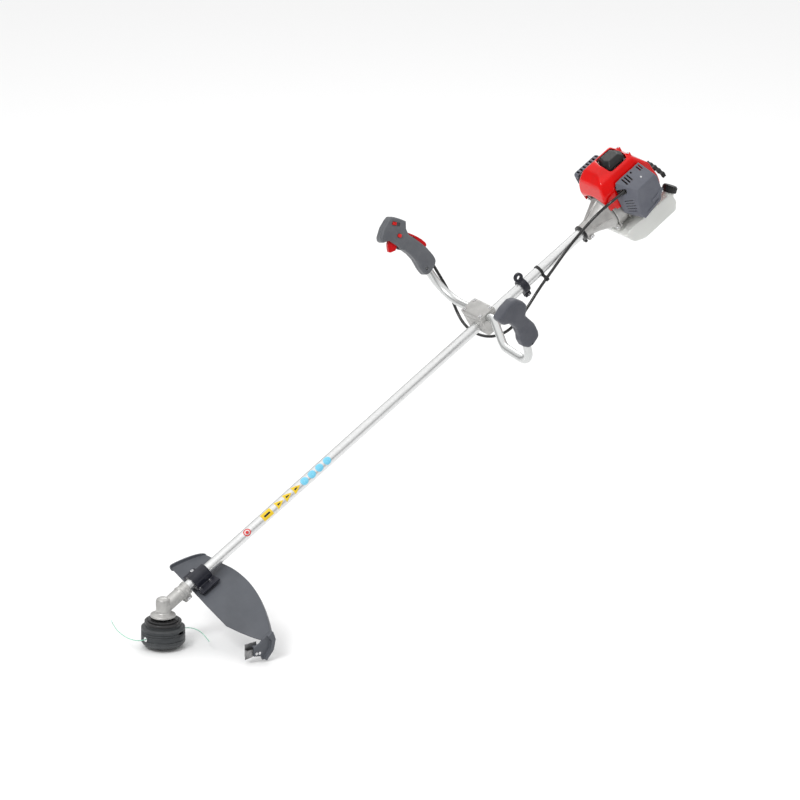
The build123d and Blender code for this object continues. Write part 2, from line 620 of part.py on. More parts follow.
def muffler():
    """Muffler box on the far side of the cylinder."""
    box = soft_block(10, 80, 46, 76, 32, 96, 5)
    return box + rod_y(9, 32.2, 47, 70, 62) + rod_y(5, 75, 77.5, 30, 48)


def muffler_guard():
    """Slotted grey guard round the muffler."""
    outer = soft_block(2, 88, 50, 81, 22, 104, 9)
    body = outer - soft_block(5, 85, 40, 78, 25, 101, 7) - block(-10, 92, 40, 58, 10, 120)
    slots = together([block(x, x + 5, 72, 90, 34, 92) for x in range(11, 78, 11)])
    top_slots = together([block(x, x + 5, 60, 74, 96, 115) for x in range(11, 78, 11)])
    front_slots = together([block(-10, 8, y, y + 4, 34, 92) for y in (61, 69)])
    return body - slots - top_slots - front_slots


def carburettor():
    """Carburettor body between cylinder and filter."""
    body = soft_block(84, 112, -74, -44, 34, 68, 3) + rod_y(9, -46, -33.5, 98, 52) + rod_y(12, -80, -72, 98, 52)
    return body - rod_y(6.5, -90, -30, 98, 52) - rod_z(3 + RUN_GAP, 30, 90, 98, -58)


def throttle_valve():
    """Throttle spindle with its plate and the lever that the cable pulls."""
    spindle = rod_z(3, 34, 74, 98, -58)
    plate = rod_y(6.2, -58.6, -57.4, 98, 52)
    lever = block(80, 100, -61, -55, 70, 73)
    return spindle + plate + lever


COVER_BACK = [(38, 90), (124, 90), (131, 60), (128, 8), (108, -14), (34, -22), (20, 0), (22, 52)]
COVER_FACE = [(62, 60), (128, 62), (132, 50), (126, 14), (110, -14), (46, -26), (40, -4), (52, 34)]


def cover_form(inset, open_y):
    """Tapered body of the filter cover between its back and its face."""
    def shrink(points):
        """Move the outline in towards its middle."""
        middle = (sum(x for x, z in points) / len(points), sum(z for x, z in points) / len(points))
        scale = 1 - inset / 48
        return [(middle[0] + (x - middle[0]) * scale, middle[1] + (z - middle[1]) * scale) for x, z in points]

    back = make_face(Polyline(*[(x, open_y, z) for x, z in shrink(COVER_BACK)], close=True))
    face = make_face(Polyline(*[(x, -108 + inset, z) for x, z in shrink(COVER_FACE)], close=True))
    return loft([back, face], ruled=True)


def filter_cover():
    """Grey air filter cover with slots in its sloping top."""
    body = cover_form(0, -58) - cover_form(2.6, -57.9)
    slots = together([block(x - 2, x + 2, -81, -61, 66, 100) for x in (58, 67, 76)])
    rear_slots = together([block(x - 1.8, x + 1.8, -77, -61, 66, 100) for x in (111, 118)])
    pin_hole = block(86, 91, -67, -62, 70, 100)
    return body - slots - rear_slots - pin_hole - block(20, 66, -82, -57, 56, 68)


def filter_element():
    """Foam air filter."""
    return soft_block(64, 118, -98, -82, 2, 46, 4)


def starter_housing():
    """Red recoil starter housing at the rear."""
    shell = spun_x([(119, 40), (119, 46), (150, 46), (159, 42), (164, 34), (164, 12), (119, 12)])
    shell = shell - spun_x([(118, 0), (118, 43), (148, 43), (156, 40), (159.5, 32), (159.5, 0)])
    shell = shell + rod_x(14, 156, 166) - rod_x(4.5, 150, 170, 0, -3) - rod_x(11.9, 118, 158)
    slots = together([Rot(turn, 0, 0) * block(150, 170, -3, 3, 18, 33) for turn in range(30, 360, 30)])
    return shell - slots


def starter_pulley():
    """Rope pulley of the recoil starter."""
    wheel = rod_x(30, 136, 150) - (rod_x(31, 140, 146) - rod_x(22, 139, 147))
    return wheel + rod_x(9, 150, 155.5) - rod_x(6.3, 130, 140)


def starter_handle():
    """Curved pull handle with the visible start of its rope."""
    bow = prism_x([(-38, -8), (-30, 1), (0, 6), (30, 1), (38, -8), (36, -13), (28, -7), (0, -4), (-28, -7),
                   (-36, -13)], 176, 188)
    bow = fillet(bow.edges().filter_by(Axis.X), 1.5)
    bow = Rot(20, 0, 0) * bow
    stem = rod_x(6, 168, 180, 0, -3) + rod_x(2, 157, 170, 0, -3)
    return Pos(0, 0, -2) * bow + stem


def fuel_tank():
    """Translucent fuel tank under the engine, hollow, with its filler neck."""
    side = [(-8, -58), (6, -52), (150, -52), (162, -62), (164, -84), (150, -104), (40, -106), (6, -92)]
    outer = fillet(prism_y(side, -64, 60).edges().filter_by(Axis.Y), 6)
    inner = prism_y([(2, -61), (8, -55), (148, -55), (159, -65), (160, -84), (148, -101), (41, -103), (8, -90)],
                    -61, 57)
    neck = NECK * rod_z(15, 0, 22)
    hole = NECK * rod_z(11.5, -12, 30)
    saddle = rod_x(53, -20, 34) + rod_x(47, 117, 200)
    return outer + neck - inner - hole - saddle


def fuel_cap():
    """Ribbed fuel cap, in the ENGINE frame."""
    cap = rod_z(19, 22.4, 38) + rod_z(17.5, 38, 40)
    ribs = together([Rot(0, 0, 20 * i) * block(18, 20, -1.2, 1.2, 23, 37) for i in range(18)])
    cap = cap + ribs - rod_z(15.4, 10, 34)
    plug = rod_z(11.1, 18, 35)
    return NECK * (cap + plug)


def ignition_coil():
    """Ignition coil beside the flywheel."""
    return soft_block(14, 30, -14, 14, 56, 76, 2) + block(34, 40, -10, 10, 46, 60) + block(26, 38, -8, 8, 58, 64)


# Fasteners

def frame_screws():
    """Screws of gear case, guard, knife, bracket, grips and harness clamp, in the HEAD frame."""
    screws = []
    for place in ((106, -28, -13), (140, -28, -13), (138, 50, -12)):
        screws.append(LEAN * Pos(*place) * screw(2.5, 16))
    for x in (127.5, 137):
        screws.append(Pos(x, -238, -76) * Rot(90, 0, 0) * screw(2, 8))
    for x in (-18, 18):
        for y in (-33, 38):
            screws.append(LEAN * Pos(BRACKET_S + x, y, 39) * screw(2.4, 28))
    screws.append(LEAN * Pos(72, -8, -24) * Rot(90, 0, 0) * screw(2.4, 14))
    screws.append(LEAN * Pos(EYE_S, -6, -28) * Rot(90, 0, 0) * screw(2.4, 12))
    return together(screws)


def engine_screws():
    """Screws of clutch housing and engine covers, in the ENGINE frame."""
    screws = []
    for turn in (45, 135, 225, 315):
        screws.append(Rot(turn, 0, 0) * Pos(-6, 0, 53.5) * Rot(0, -90, 0) * screw(2.4, 14))
    for x, y, z in ((121, 9, 119), (121, -33, 115)):
        screws.append(Pos(x, y, z) * screw(2, 3))
    screws.append(Pos(-72, -9, -24) * Rot(90, 0, 0) * screw(2.4, 14))
    return together(screws)


def write_parts():
    """Write every sub-part."""
    save("shaft_tube", shaft_tube(), SHAFT)
    save("shaft_bushes", shaft_bushes(), SHAFT)
    save("ball_bearings", ball_bearings(), HEAD)
    save("gear_case", gear_case(), HEAD)
    save("guard_shield", guard_shield(), SHAFT)
    save("guard_clamp", guard_clamp(), SHAFT)
    save("guard_skirt", guard_skirt(), HEAD)
    save("line_cutter_blade", line_cutter_blade(), HEAD)
    save("frame_screws", frame_screws(), HEAD)
    save("handle_bracket", handle_bracket(), BRACKET)
    save("bracket_cap", bracket_cap(), BRACKET)
    save("handlebar", handlebar(), BRACKET)
    save("left_grip", left_grip(), BRACKET)
    handle = grip_body()
    save("throttle_grip_inner", handle & block(-90, 90, -40, -0.05, 50, 300), GRIP)
    save("throttle_grip_outer", handle & block(-90, 90, 0.05, 40, 50, 300), GRIP)
    save("harness_clamp", harness_clamp(), SHAFT)
    save("cable_clip", cable_clip(), SHAFT)
    save("throttle_cable", cord("throttle_cable", CABLE_ROUTE, CABLE_RADIUS), BRACKET)
    save("tube_collar", tube_collar(), ENGINE)
    save("clutch_housing", clutch_housing(), ENGINE)
    save("crankcase", crankcase(), ENGINE)
    save("cylinder", cylinder(), ENGINE)
    save("piston", piston(), ENGINE)
    save("connecting_rod", connecting_rod(), ENGINE)
    save("spark_plug", spark_plug(), ENGINE)
    save("plug_cap", plug_cap(), ENGINE)
    save("engine_shroud", engine_shroud(), ENGINE)
    save("muffler", muffler(), ENGINE)
    save("muffler_guard", muffler_guard(), ENGINE)
    save("carburettor", carburettor(), ENGINE)
    save("filter_element", filter_element(), ENGINE)
    save("starter_housing", starter_housing(), ENGINE)
    save("fuel_tank", fuel_tank(), ENGINE)
    save("ignition_coil", ignition_coil(), ENGINE)
    save("engine_screws", engine_screws(), ENGINE)
    save("drive_shaft", drive_shaft(), SHAFT)
    pinion = bevel_gear(PINION_TEETH, PINION_CONE, SHAFT_RADIUS + 0.02, 18, 0)
    save("bevel_pinion", pinion, HEAD * Rot(0, 90 - TILT, 0))
    save("clutch_drum", clutch_drum(), ENGINE)
    save("output_shaft", output_shaft(), HEAD)
    wheel = bevel_gear(GEAR_TEETH, GEAR_CONE, 5.02, 9.5, 180 / GEAR_TEETH)
    save("bevel_gear", wheel, HEAD * Rot(180, 0, 0))
    save("head_flange", head_flange(), HEAD)
    save("head_housing", head_housing(), HEAD)
    save("head_cover", head_cover(), HEAD)
    save("line_eyelets", line_eyelets(), HEAD)
    save("trimmer_line_front", trimmer_line("trimmer_line_front", FRONT_LINE), HEAD)
    save("trimmer_line_rear", trimmer_line("trimmer_line_rear", REAR_LINE), HEAD)
    save("line_spool", line_spool(), HEAD)
    save("bump_knob", bump_knob(), HEAD)
    save("crankshaft", crankshaft(), ENGINE)
    save("flywheel", flywheel(), ENGINE)
    save("clutch_shoes", clutch_shoes(), ENGINE)
    save("throttle_trigger", throttle_trigger(), GRIP)
    save("lockout_lever", lockout_lever(), GRIP)
    save("stop_switch", stop_switch(), GRIP)
    save("throttle_lock_button", rod_y(5, -22, -14, *LOCK_BUTTON), GRIP)
    save("throttle_valve", throttle_valve(), ENGINE)
    save("starter_handle", starter_handle(), ENGINE)
    save("starter_pulley", starter_pulley(), ENGINE)
    save("fuel_cap", fuel_cap(), ENGINE)
    save("filter_cover", filter_cover(), ENGINE)


os.makedirs("parts", exist_ok=True)
write_parts()
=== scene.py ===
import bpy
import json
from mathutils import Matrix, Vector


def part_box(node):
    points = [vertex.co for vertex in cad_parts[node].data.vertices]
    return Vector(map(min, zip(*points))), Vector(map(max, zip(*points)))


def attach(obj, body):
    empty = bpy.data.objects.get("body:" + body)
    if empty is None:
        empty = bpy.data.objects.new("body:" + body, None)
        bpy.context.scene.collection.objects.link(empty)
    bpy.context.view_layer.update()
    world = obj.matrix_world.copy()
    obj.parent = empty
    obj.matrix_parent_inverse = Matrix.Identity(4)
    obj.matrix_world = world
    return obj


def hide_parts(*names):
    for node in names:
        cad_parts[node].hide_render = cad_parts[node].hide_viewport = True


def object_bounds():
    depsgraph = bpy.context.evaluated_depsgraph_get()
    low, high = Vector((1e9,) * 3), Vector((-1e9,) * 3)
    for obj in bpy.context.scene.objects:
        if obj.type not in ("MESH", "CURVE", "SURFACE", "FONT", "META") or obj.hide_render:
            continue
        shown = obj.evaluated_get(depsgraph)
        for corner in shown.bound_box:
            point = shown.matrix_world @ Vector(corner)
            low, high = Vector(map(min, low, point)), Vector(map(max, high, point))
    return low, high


bl_info = {
    "name": "String Trimmer",
    "version": (1, 0, 0),
    "blender": (4, 5, 0),
    "location": "View3D > Sidebar > Trimmer",
    "description": "Builds the visible surfaces of a petrol string trimmer on its packed frame",
    "category": "Add Mesh",
}

import bmesh
import bpy
import json
import math
import numpy as np
from bpy.props import FloatProperty, FloatVectorProperty, PointerProperty

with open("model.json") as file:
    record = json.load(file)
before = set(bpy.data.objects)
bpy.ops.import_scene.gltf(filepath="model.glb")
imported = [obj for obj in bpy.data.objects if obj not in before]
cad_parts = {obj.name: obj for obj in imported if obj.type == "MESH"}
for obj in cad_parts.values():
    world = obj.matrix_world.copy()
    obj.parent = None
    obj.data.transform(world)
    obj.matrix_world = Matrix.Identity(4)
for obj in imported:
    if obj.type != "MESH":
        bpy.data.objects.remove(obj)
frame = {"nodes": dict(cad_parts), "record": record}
START_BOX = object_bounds()

MM = 0.001
TILT = math.radians(30)
BAR_LEAN = math.radians(19.9)

# Distances along the tube, in millimetres from the point where the tube axis meets the head axis
BRACKET_S = 1165.0
ENGINE_S = 1611.0
# Middle of the throttle handle's foot, to the side of the bracket and above it
GRIP_SIDE = 152
GRIP_RISE = 27

# The head axis is the output shaft's, and the tube axis crosses it this far below the shaft's top
SHAFT_TOP_TO_APEX = 20
_low, _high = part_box("output_shaft")
APEX = np.array([(_low[0] + _high[0]) / 2, (_low[1] + _high[1]) / 2,
                 _high[2] - SHAFT_TOP_TO_APEX * MM])


# Places: each turns points in millimetres of one local frame into metres of the whole object

def from_head(points):
    """Level frame with its origin where the tube axis meets the head axis."""
    return APEX + np.asarray(points, float) * MM


def from_shaft(points):
    """Frame with x along the tube: x turns up by the tube's tilt."""
    p = np.asarray(points, float)
    x = p[..., 0] * math.cos(TILT) - p[..., 2] * math.sin(TILT)
    z = p[..., 0] * math.sin(TILT) + p[..., 2] * math.cos(TILT)
    return from_head(np.stack([x, p[..., 1], z], -1))


def from_bracket(points):
    """Shaft frame moved to the handle bracket."""
    return from_shaft(np.asarray(points, float) + [BRACKET_S, 0, 0])


def from_engine(points):
    """Shaft frame moved to the engine's front face."""
    return from_shaft(np.asarray(points, float) + [ENGINE_S, 0, 0])


def from_grip(points):
    """Frame of the throttle handle, leaning outwards with the bar's right end."""
    p = np.asarray(points, float)
    y = GRIP_SIDE + p[..., 1] * math.cos(BAR_LEAN) + p[..., 2] * math.sin(BAR_LEAN)
    z = GRIP_RISE - p[..., 1] * math.sin(BAR_LEAN) + p[..., 2] * math.cos(BAR_LEAN)
    return from_bracket(np.stack([p[..., 0], y, z], -1))


# Mesh helpers

MERGE_DISTANCE = 1e-6   # metres between vertices that count as one
KEPT_BLEND = 0.003      # metres over which a kept place blends into its rounded surroundings
SMOOTH_FACTOR = 0.5     # share of the way to its neighbours that a vertex moves in one round
BEVEL_SEGMENTS = 4


def add_object(name, mesh):
    """Link a mesh to the scene as a smooth shaded object."""
    mesh.shade_smooth()
    obj = bpy.data.objects.new(name, mesh)
    bpy.context.scene.collection.objects.link(obj)
    return obj


def grid_piece(name, points, close_u=False, close_v=False, caps=""):
    """Quads over a grid of points (rows u, columns v). With caps "first" or "both" the first row,
    or the first and the last, is fanned to its centre."""
    rows, columns = points.shape[:2]
    index = np.arange(rows * columns).reshape(rows, columns)
    down = np.roll(index, -1, 0) if close_u else index[1:]
    top = index if close_u else index[:-1]
    if close_v:
        quads = np.stack([top, np.roll(top, -1, 1), np.roll(down, -1, 1), down], -1).reshape(-1, 4)
    else:
        quads = np.stack([top[:, :-1], top[:, 1:], down[:, 1:], down[:, :-1]], -1).reshape(-1, 4)
    vertices = points.reshape(-1, 3)
    faces = quads.tolist()
    ends = {"": (), "first": ((0, -1, 0),), "both": ((0, -1, 0), (-1, 0, -1))}[caps]
    for row, turn_start, turn_end in ends:
        ring = index[row]
        centre = np.full(columns, len(vertices))
        faces += np.stack([np.roll(ring, turn_start), np.roll(ring, turn_end), centre],
                          -1).tolist()
        vertices = np.concatenate([vertices, points[row].mean(0)[None]])
    mesh = bpy.data.meshes.new(name)
    mesh.from_pydata(vertices.tolist(), [], faces)
    mesh.update()
    return add_object(name, mesh)


def point_outwards(obj):
    """Merge doubles and turn all faces outwards."""
    shape = bmesh.new()
    shape.from_mesh(obj.data)
    bmesh.ops.remove_doubles(shape, verts=shape.verts, dist=MERGE_DISTANCE)
    bmesh.ops.recalc_face_normals(shape, faces=shape.faces)
    shape.to_mesh(obj.data)
    shape.free()


def apply_modifiers(obj):
    """Bake all modifiers into the mesh."""
    depsgraph = bpy.context.evaluated_depsgraph_get()
    mesh = bpy.data.meshes.new_from_object(obj.evaluated_get(depsgraph))
    obj.modifiers.clear()
    obj.data = mesh
    mesh.shade_smooth()


def free_weight(points, kept):
    """Weights for rounding: 1 where a surface is free, 0 inside the kept capsules (start, end,
    radius), and a short blend round them."""
    weight = np.ones(len(points))
    for start, end, radius in kept:
        start, end = np.array(start), np.array(end)
        line = end - start
        t = np.clip((points - start) @ line / max(line @ line, 1e-12), 0, 1)
        distance = np.linalg.norm(points - start - t[:, None] * line, axis=1)
        weight *= np.clip((distance - radius) / KEPT_BLEND, 0, 1)
    return weight


def soften(name, nodes, body, voxel, rounds, broad=0, kept=()):
    """Moulded or cast form of CAD nodes: a fine remesh (voxel in millimetres), as many rounds of
    broad rounding outside the kept capsules as broad says, then all edges relaxed into small
    fillets. The result stands for the nodes and rides on the body."""
    copies = []
    for node in nodes:
        mesh = frame["nodes"][node].data.copy()
        mesh.materials.clear()
        copies.append(add_object(name, mesh))
    piece = copies[0]
    if len(copies) > 1:
        with bpy.context.temp_override(active_object=piece, selected_editable_objects=copies):
            bpy.ops.object.join()
    point_outwards(piece)
    remesh = piece.modifiers.new("fine", "REMESH")
    remesh.mode = "VOXEL"
    remesh.voxel_size = voxel * MM
    apply_modifiers(piece)
    if broad:
        weight = np.round(free_weight(vertex_array(piece), kept), 1)
        group = piece.vertex_groups.new(name="free")
        for level in np.unique(weight):
            group.add(np.nonzero(weight == level)[0].tolist(), float(level), "REPLACE")
        rounding = piece.modifiers.new("broad", "SMOOTH")
        rounding.factor = SMOOTH_FACTOR
        rounding.iterations = broad
        rounding.vertex_group = "free"
    relax = piece.modifiers.new("relax", "SMOOTH")
    relax.factor = SMOOTH_FACTOR
    relax.iterations = rounds
    apply_modifiers(piece)
    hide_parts(*nodes)
    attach(piece, body)
    return piece


def vertex_array(obj, field="co"):
    """One vector of every vertex of a mesh: its place ("co") or its direction ("normal")."""
    vectors = np.empty(len(obj.data.vertices) * 3)
    obj.data.vertices.foreach_get(field, vectors)
    return vectors.reshape(-1, 3)


def set_vertices(obj, points):
    """Write all vertices back."""
    obj.data.vertices.foreach_set("co", np.ascontiguousarray(points, dtype=np.float32).ravel())
    obj.data.update()


def engrave_plane(piece, origin, normal, half_width, depth):
    """Parting line: vertices near a plane sink along their normals by a rounded valley."""
    points = vertex_array(piece)
    normals = vertex_array(piece, "normal")
    reach = np.abs((points - origin) @ normal) / (half_width * MM)
    valley = np.clip(1 - reach ** 2, 0, 1) * depth * MM
    set_vertices(piece, points - normals * valley[:, None])


def beam(name, place, start, end, wide, high, up=(0, 0, 1), rounded=0.0):
    """Straight bar of rectangular section from start to end in a local frame. Its edges are
    rounded by the given radius, in millimetres."""
    start, end, up = (np.array(v, float) for v in (start, end, up))
    along = (end - start) / np.linalg.norm(end - start)
    side = np.cross(up, along)
    side /= np.linalg.norm(side)
    lift = np.cross(along, side)
    corners = np.array([p + side * wide / 2 * i + lift * high / 2 * j for p in (start, end)
                        for i, j in ((-1, -1), (1, -1), (1, 1), (-1, 1))])
    faces = [(0, 1, 2, 3), (7, 6, 5, 4), (0, 4, 5, 1), (1, 5, 6, 2), (2, 6, 7, 3), (3, 7, 4, 0)]
    mesh = bpy.data.meshes.new(name)
    mesh.from_pydata(place(corners).tolist(), [], faces)
    bar = add_object(name, mesh)
    point_outwards(bar)
    if rounded:
        edge = bar.modifiers.new("rounded", "BEVEL")
        edge.width = rounded * MM
        edge.segments = BEVEL_SEGMENTS
        apply_modifiers(bar)
    return bar


def thicken(obj, thickness, offset=-1.0, even=True):
    """Give an open surface a wall."""
    wall = obj.modifiers.new("wall", "SOLIDIFY")
    wall.thickness = thickness * MM
    wall.offset = offset
    wall.use_even_offset = even
    apply_modifiers(obj)


# Shader groups

# Sockets of the colour mix node, whose names its other kinds of value share
MIX_COLOUR_A, MIX_COLOUR_B, MIX_COLOUR_RESULT = 6, 7, 2
BUMP_DISTANCE = 0.0004
BLOTCH_LOW, BLOTCH_HIGH = 0.35, 0.65
WEAR_START, WEAR_FULL = 0.54, 0.62
DUST_FACES_UP = 0.3
DUST_COLOUR = (0.55, 0.53, 0.5)
COAT_ROUGHNESS = 0.06
LEAST_ROUGHNESS = 0.02


def new_group(name, inputs, outputs):
    """Empty shader group with named float, colour and vector sockets."""
    group = bpy.data.node_groups.new(name, "ShaderNodeTree")
    for label, kind, value in inputs:
        socket = group.interface.new_socket(name=label, in_out="INPUT", socket_type=kind)
        if value is not None:
            socket.default_value = value
    for label, kind in outputs:
        group.interface.new_socket(name=label, in_out="OUTPUT", socket_type=kind)
    return group


def grain_group():
    """Surface grain: two noises over Object coordinates make height, blotch mask and normal."""
    group = new_group("surface_grain", [("Scale", "NodeSocketFloat", 900.0),
                                        ("Depth", "NodeSocketFloat", 0.1),
                                        ("Blotch", "NodeSocketFloat", 12.0),
                                        ("Stretch", "NodeSocketVector", (1, 1, 1))],
                      [("Height", "NodeSocketFloat"), ("Mask", "NodeSocketFloat"),
                       ("Normal", "NodeSocketVector")])
    nodes, links = group.nodes, group.links
    given = nodes.new("NodeGroupInput")
    result = nodes.new("NodeGroupOutput")
    place = nodes.new("ShaderNodeTexCoord")
    stretch = nodes.new("ShaderNodeVectorMath")
    stretch.operation = "MULTIPLY"
    links.new(place.outputs["Object"], stretch.inputs[0])
    links.new(given.outputs["Stretch"], stretch.inputs[1])
    fine = nodes.new("ShaderNodeTexNoise")
    fine.inputs["Detail"].default_value = 3.0
    links.new(stretch.outputs[0], fine.inputs["Vector"])
    links.new(given.outputs["Scale"], fine.inputs["Scale"])
    broad = nodes.new("ShaderNodeTexNoise")
    broad.inputs["Detail"].default_value = 5.0
    broad.inputs["Roughness"].default_value = 0.6
    links.new(place.outputs["Object"], broad.inputs["Vector"])
    links.new(given.outputs["Blotch"], broad.inputs["Scale"])
    bump = nodes.new("ShaderNodeBump")
    bump.inputs["Distance"].default_value = BUMP_DISTANCE
    links.new(given.outputs["Depth"], bump.inputs["Strength"])
    links.new(fine.outputs["Fac"], bump.inputs["Height"])
    spread = nodes.new("ShaderNodeMapRange")
    spread.inputs["From Min"].default_value = BLOTCH_LOW
    spread.inputs["From Max"].default_value = BLOTCH_HIGH
    links.new(broad.outputs["Fac"], spread.inputs["Value"])
    links.new(fine.outputs["Fac"], result.inputs["Height"])
    links.new(spread.outputs["Result"], result.inputs["Mask"])
    links.new(bump.outputs["Normal"], result.inputs["Normal"])
    return group


def wear_group():
    """Edge wear: bent edges found by pointiness, broken up by noise, as a mask."""
    group = new_group("edge_wear", [("Reach", "NodeSocketFloat", WEAR_START),
                                    ("Scale", "NodeSocketFloat", 160.0)],
                      [("Mask", "NodeSocketFloat")])
    nodes, links = group.nodes, group.links
    given = nodes.new("NodeGroupInput")
    result = nodes.new("NodeGroupOutput")
    shape = nodes.new("ShaderNodeNewGeometry")
    place = nodes.new("ShaderNodeTexCoord")
    broken = nodes.new("ShaderNodeTexNoise")
    links.new(place.outputs["Object"], broken.inputs["Vector"])
    links.new(given.outputs["Scale"], broken.inputs["Scale"])
    reach = nodes.new("ShaderNodeMapRange")
    links.new(shape.outputs["Pointiness"], reach.inputs["Value"])
    links.new(given.outputs["Reach"], reach.inputs["From Min"])
    reach.inputs["From Max"].default_value = WEAR_FULL
    mix = nodes.new("ShaderNodeMath")
    mix.operation = "MULTIPLY"
    links.new(reach.outputs["Result"], mix.inputs[0])
    links.new(broken.outputs["Fac"], mix.inputs[1])
    links.new(mix.outputs[0], result.inputs["Mask"])
    return group


def dust_group():
    """Dust: settles on faces that look up, patchy by noise, as a mask."""
    group = new_group("settled_dust", [("Amount", "NodeSocketFloat", 0.15)],
                      [("Mask", "NodeSocketFloat")])
    nodes, links = group.nodes, group.links
    given = nodes.new("NodeGroupInput")
    result = nodes.new("NodeGroupOutput")
    shape = nodes.new("ShaderNodeNewGeometry")
    parts = nodes.new("ShaderNodeSeparateXYZ")
    links.new(shape.outputs["Normal"], parts.inputs[0])
    upward = nodes.new("ShaderNodeMapRange")
    upward.inputs["From Min"].default_value = DUST_FACES_UP
    links.new(parts.outputs["Z"], upward.inputs["Value"])
    place = nodes.new("ShaderNodeTexCoord")
    patch = nodes.new("ShaderNodeTexNoise")
    patch.inputs["Scale"].default_value = 30.0
    patch.inputs["Detail"].default_value = 6.0
    links.new(place.outputs["Object"], patch.inputs["Vector"])
    both = nodes.new("ShaderNodeMath")
    both.operation = "MULTIPLY"
    links.new(upward.outputs["Result"], both.inputs[0])
    links.new(patch.outputs["Fac"], both.inputs[1])
    amount = nodes.new("ShaderNodeMath")
    amount.operation = "MULTIPLY"
    links.new(both.outputs[0], amount.inputs[0])
    links.new(given.outputs["Amount"], amount.inputs[1])
    links.new(amount.outputs[0], result.inputs["Mask"])
    return group


GROUPS = {}
MATERIALS = {}


def place_group(material, name, values):
    """Put a shader group into a material with its own values."""
    node = material.node_tree.nodes.new("ShaderNodeGroup")
    node.node_tree = GROUPS[name]
    for label, value in values.items():
        node.inputs[label].default_value = value
    return node


def mix_colour(material, mask, low, high):
    """Blend two colours, or a colour socket and a colour, by a mask."""
    mix = material.node_tree.nodes.new("ShaderNodeMix")
    mix.data_type = "RGBA"
    links = material.node_tree.links
    links.new(mask, mix.inputs["Factor"])
    for place, value in ((MIX_COLOUR_A, low), (MIX_COLOUR_B, high)):
        socket = mix.inputs[place]
        if isinstance(value, bpy.types.NodeSocket):
            links.new(value, socket)
        else:
            socket.default_value = (*value, 1)
    return mix.outputs[MIX_COLOUR_RESULT]


def finish(name, colour, shade, worn, metallic=0.0, roughness=0.5, spread=0.1, grain=(900.0, 0.1),
           blotch=12.0, stretch=(1, 1, 1), coat=0.0, dust=0.03, reach=WEAR_START, transmission=0.0,
           sheen=0.0, specular=0.35):
    """One procedural finish: it varies from colour to shade in blotches, wears at the edges and
    takes dust on top. spread is how far its roughness varies, grain the scale and depth of its
    surface grain, and reach the bend of an edge from which it wears."""
    material = bpy.data.materials.new(name)
    material.use_nodes = True
    nodes, links = material.node_tree.nodes, material.node_tree.links
    shader = nodes["Principled BSDF"]
    surface = place_group(material, "surface_grain", {"Scale": grain[0], "Depth": grain[1],
                                                      "Blotch": blotch, "Stretch": stretch})
    wear = place_group(material, "edge_wear", {"Reach": reach})
    settled = place_group(material, "settled_dust", {"Amount": dust})
    base = mix_colour(material, surface.outputs["Mask"], colour, shade)
    base = mix_colour(material, wear.outputs["Mask"], base, worn)
    base = mix_colour(material, settled.outputs["Mask"], base, DUST_COLOUR)
    links.new(base, shader.inputs["Base Color"])
    rough = nodes.new("ShaderNodeMapRange")
    rough.inputs["To Min"].default_value = max(LEAST_ROUGHNESS, roughness - spread)
    rough.inputs["To Max"].default_value = min(1.0, roughness + spread)
    links.new(surface.outputs["Mask"], rough.inputs["Value"])
    links.new(rough.outputs["Result"], shader.inputs["Roughness"])
    links.new(surface.outputs["Normal"], shader.inputs["Normal"])
    shader.inputs["Metallic"].default_value = metallic
    shader.inputs["Specular IOR Level"].default_value = specular
    shader.inputs["Coat Weight"].default_value = coat
    shader.inputs["Coat Roughness"].default_value = COAT_ROUGHNESS
    shader.inputs["Transmission Weight"].default_value = transmission
    shader.inputs["Sheen Weight"].default_value = sheen
    MATERIALS[name] = material
    return material


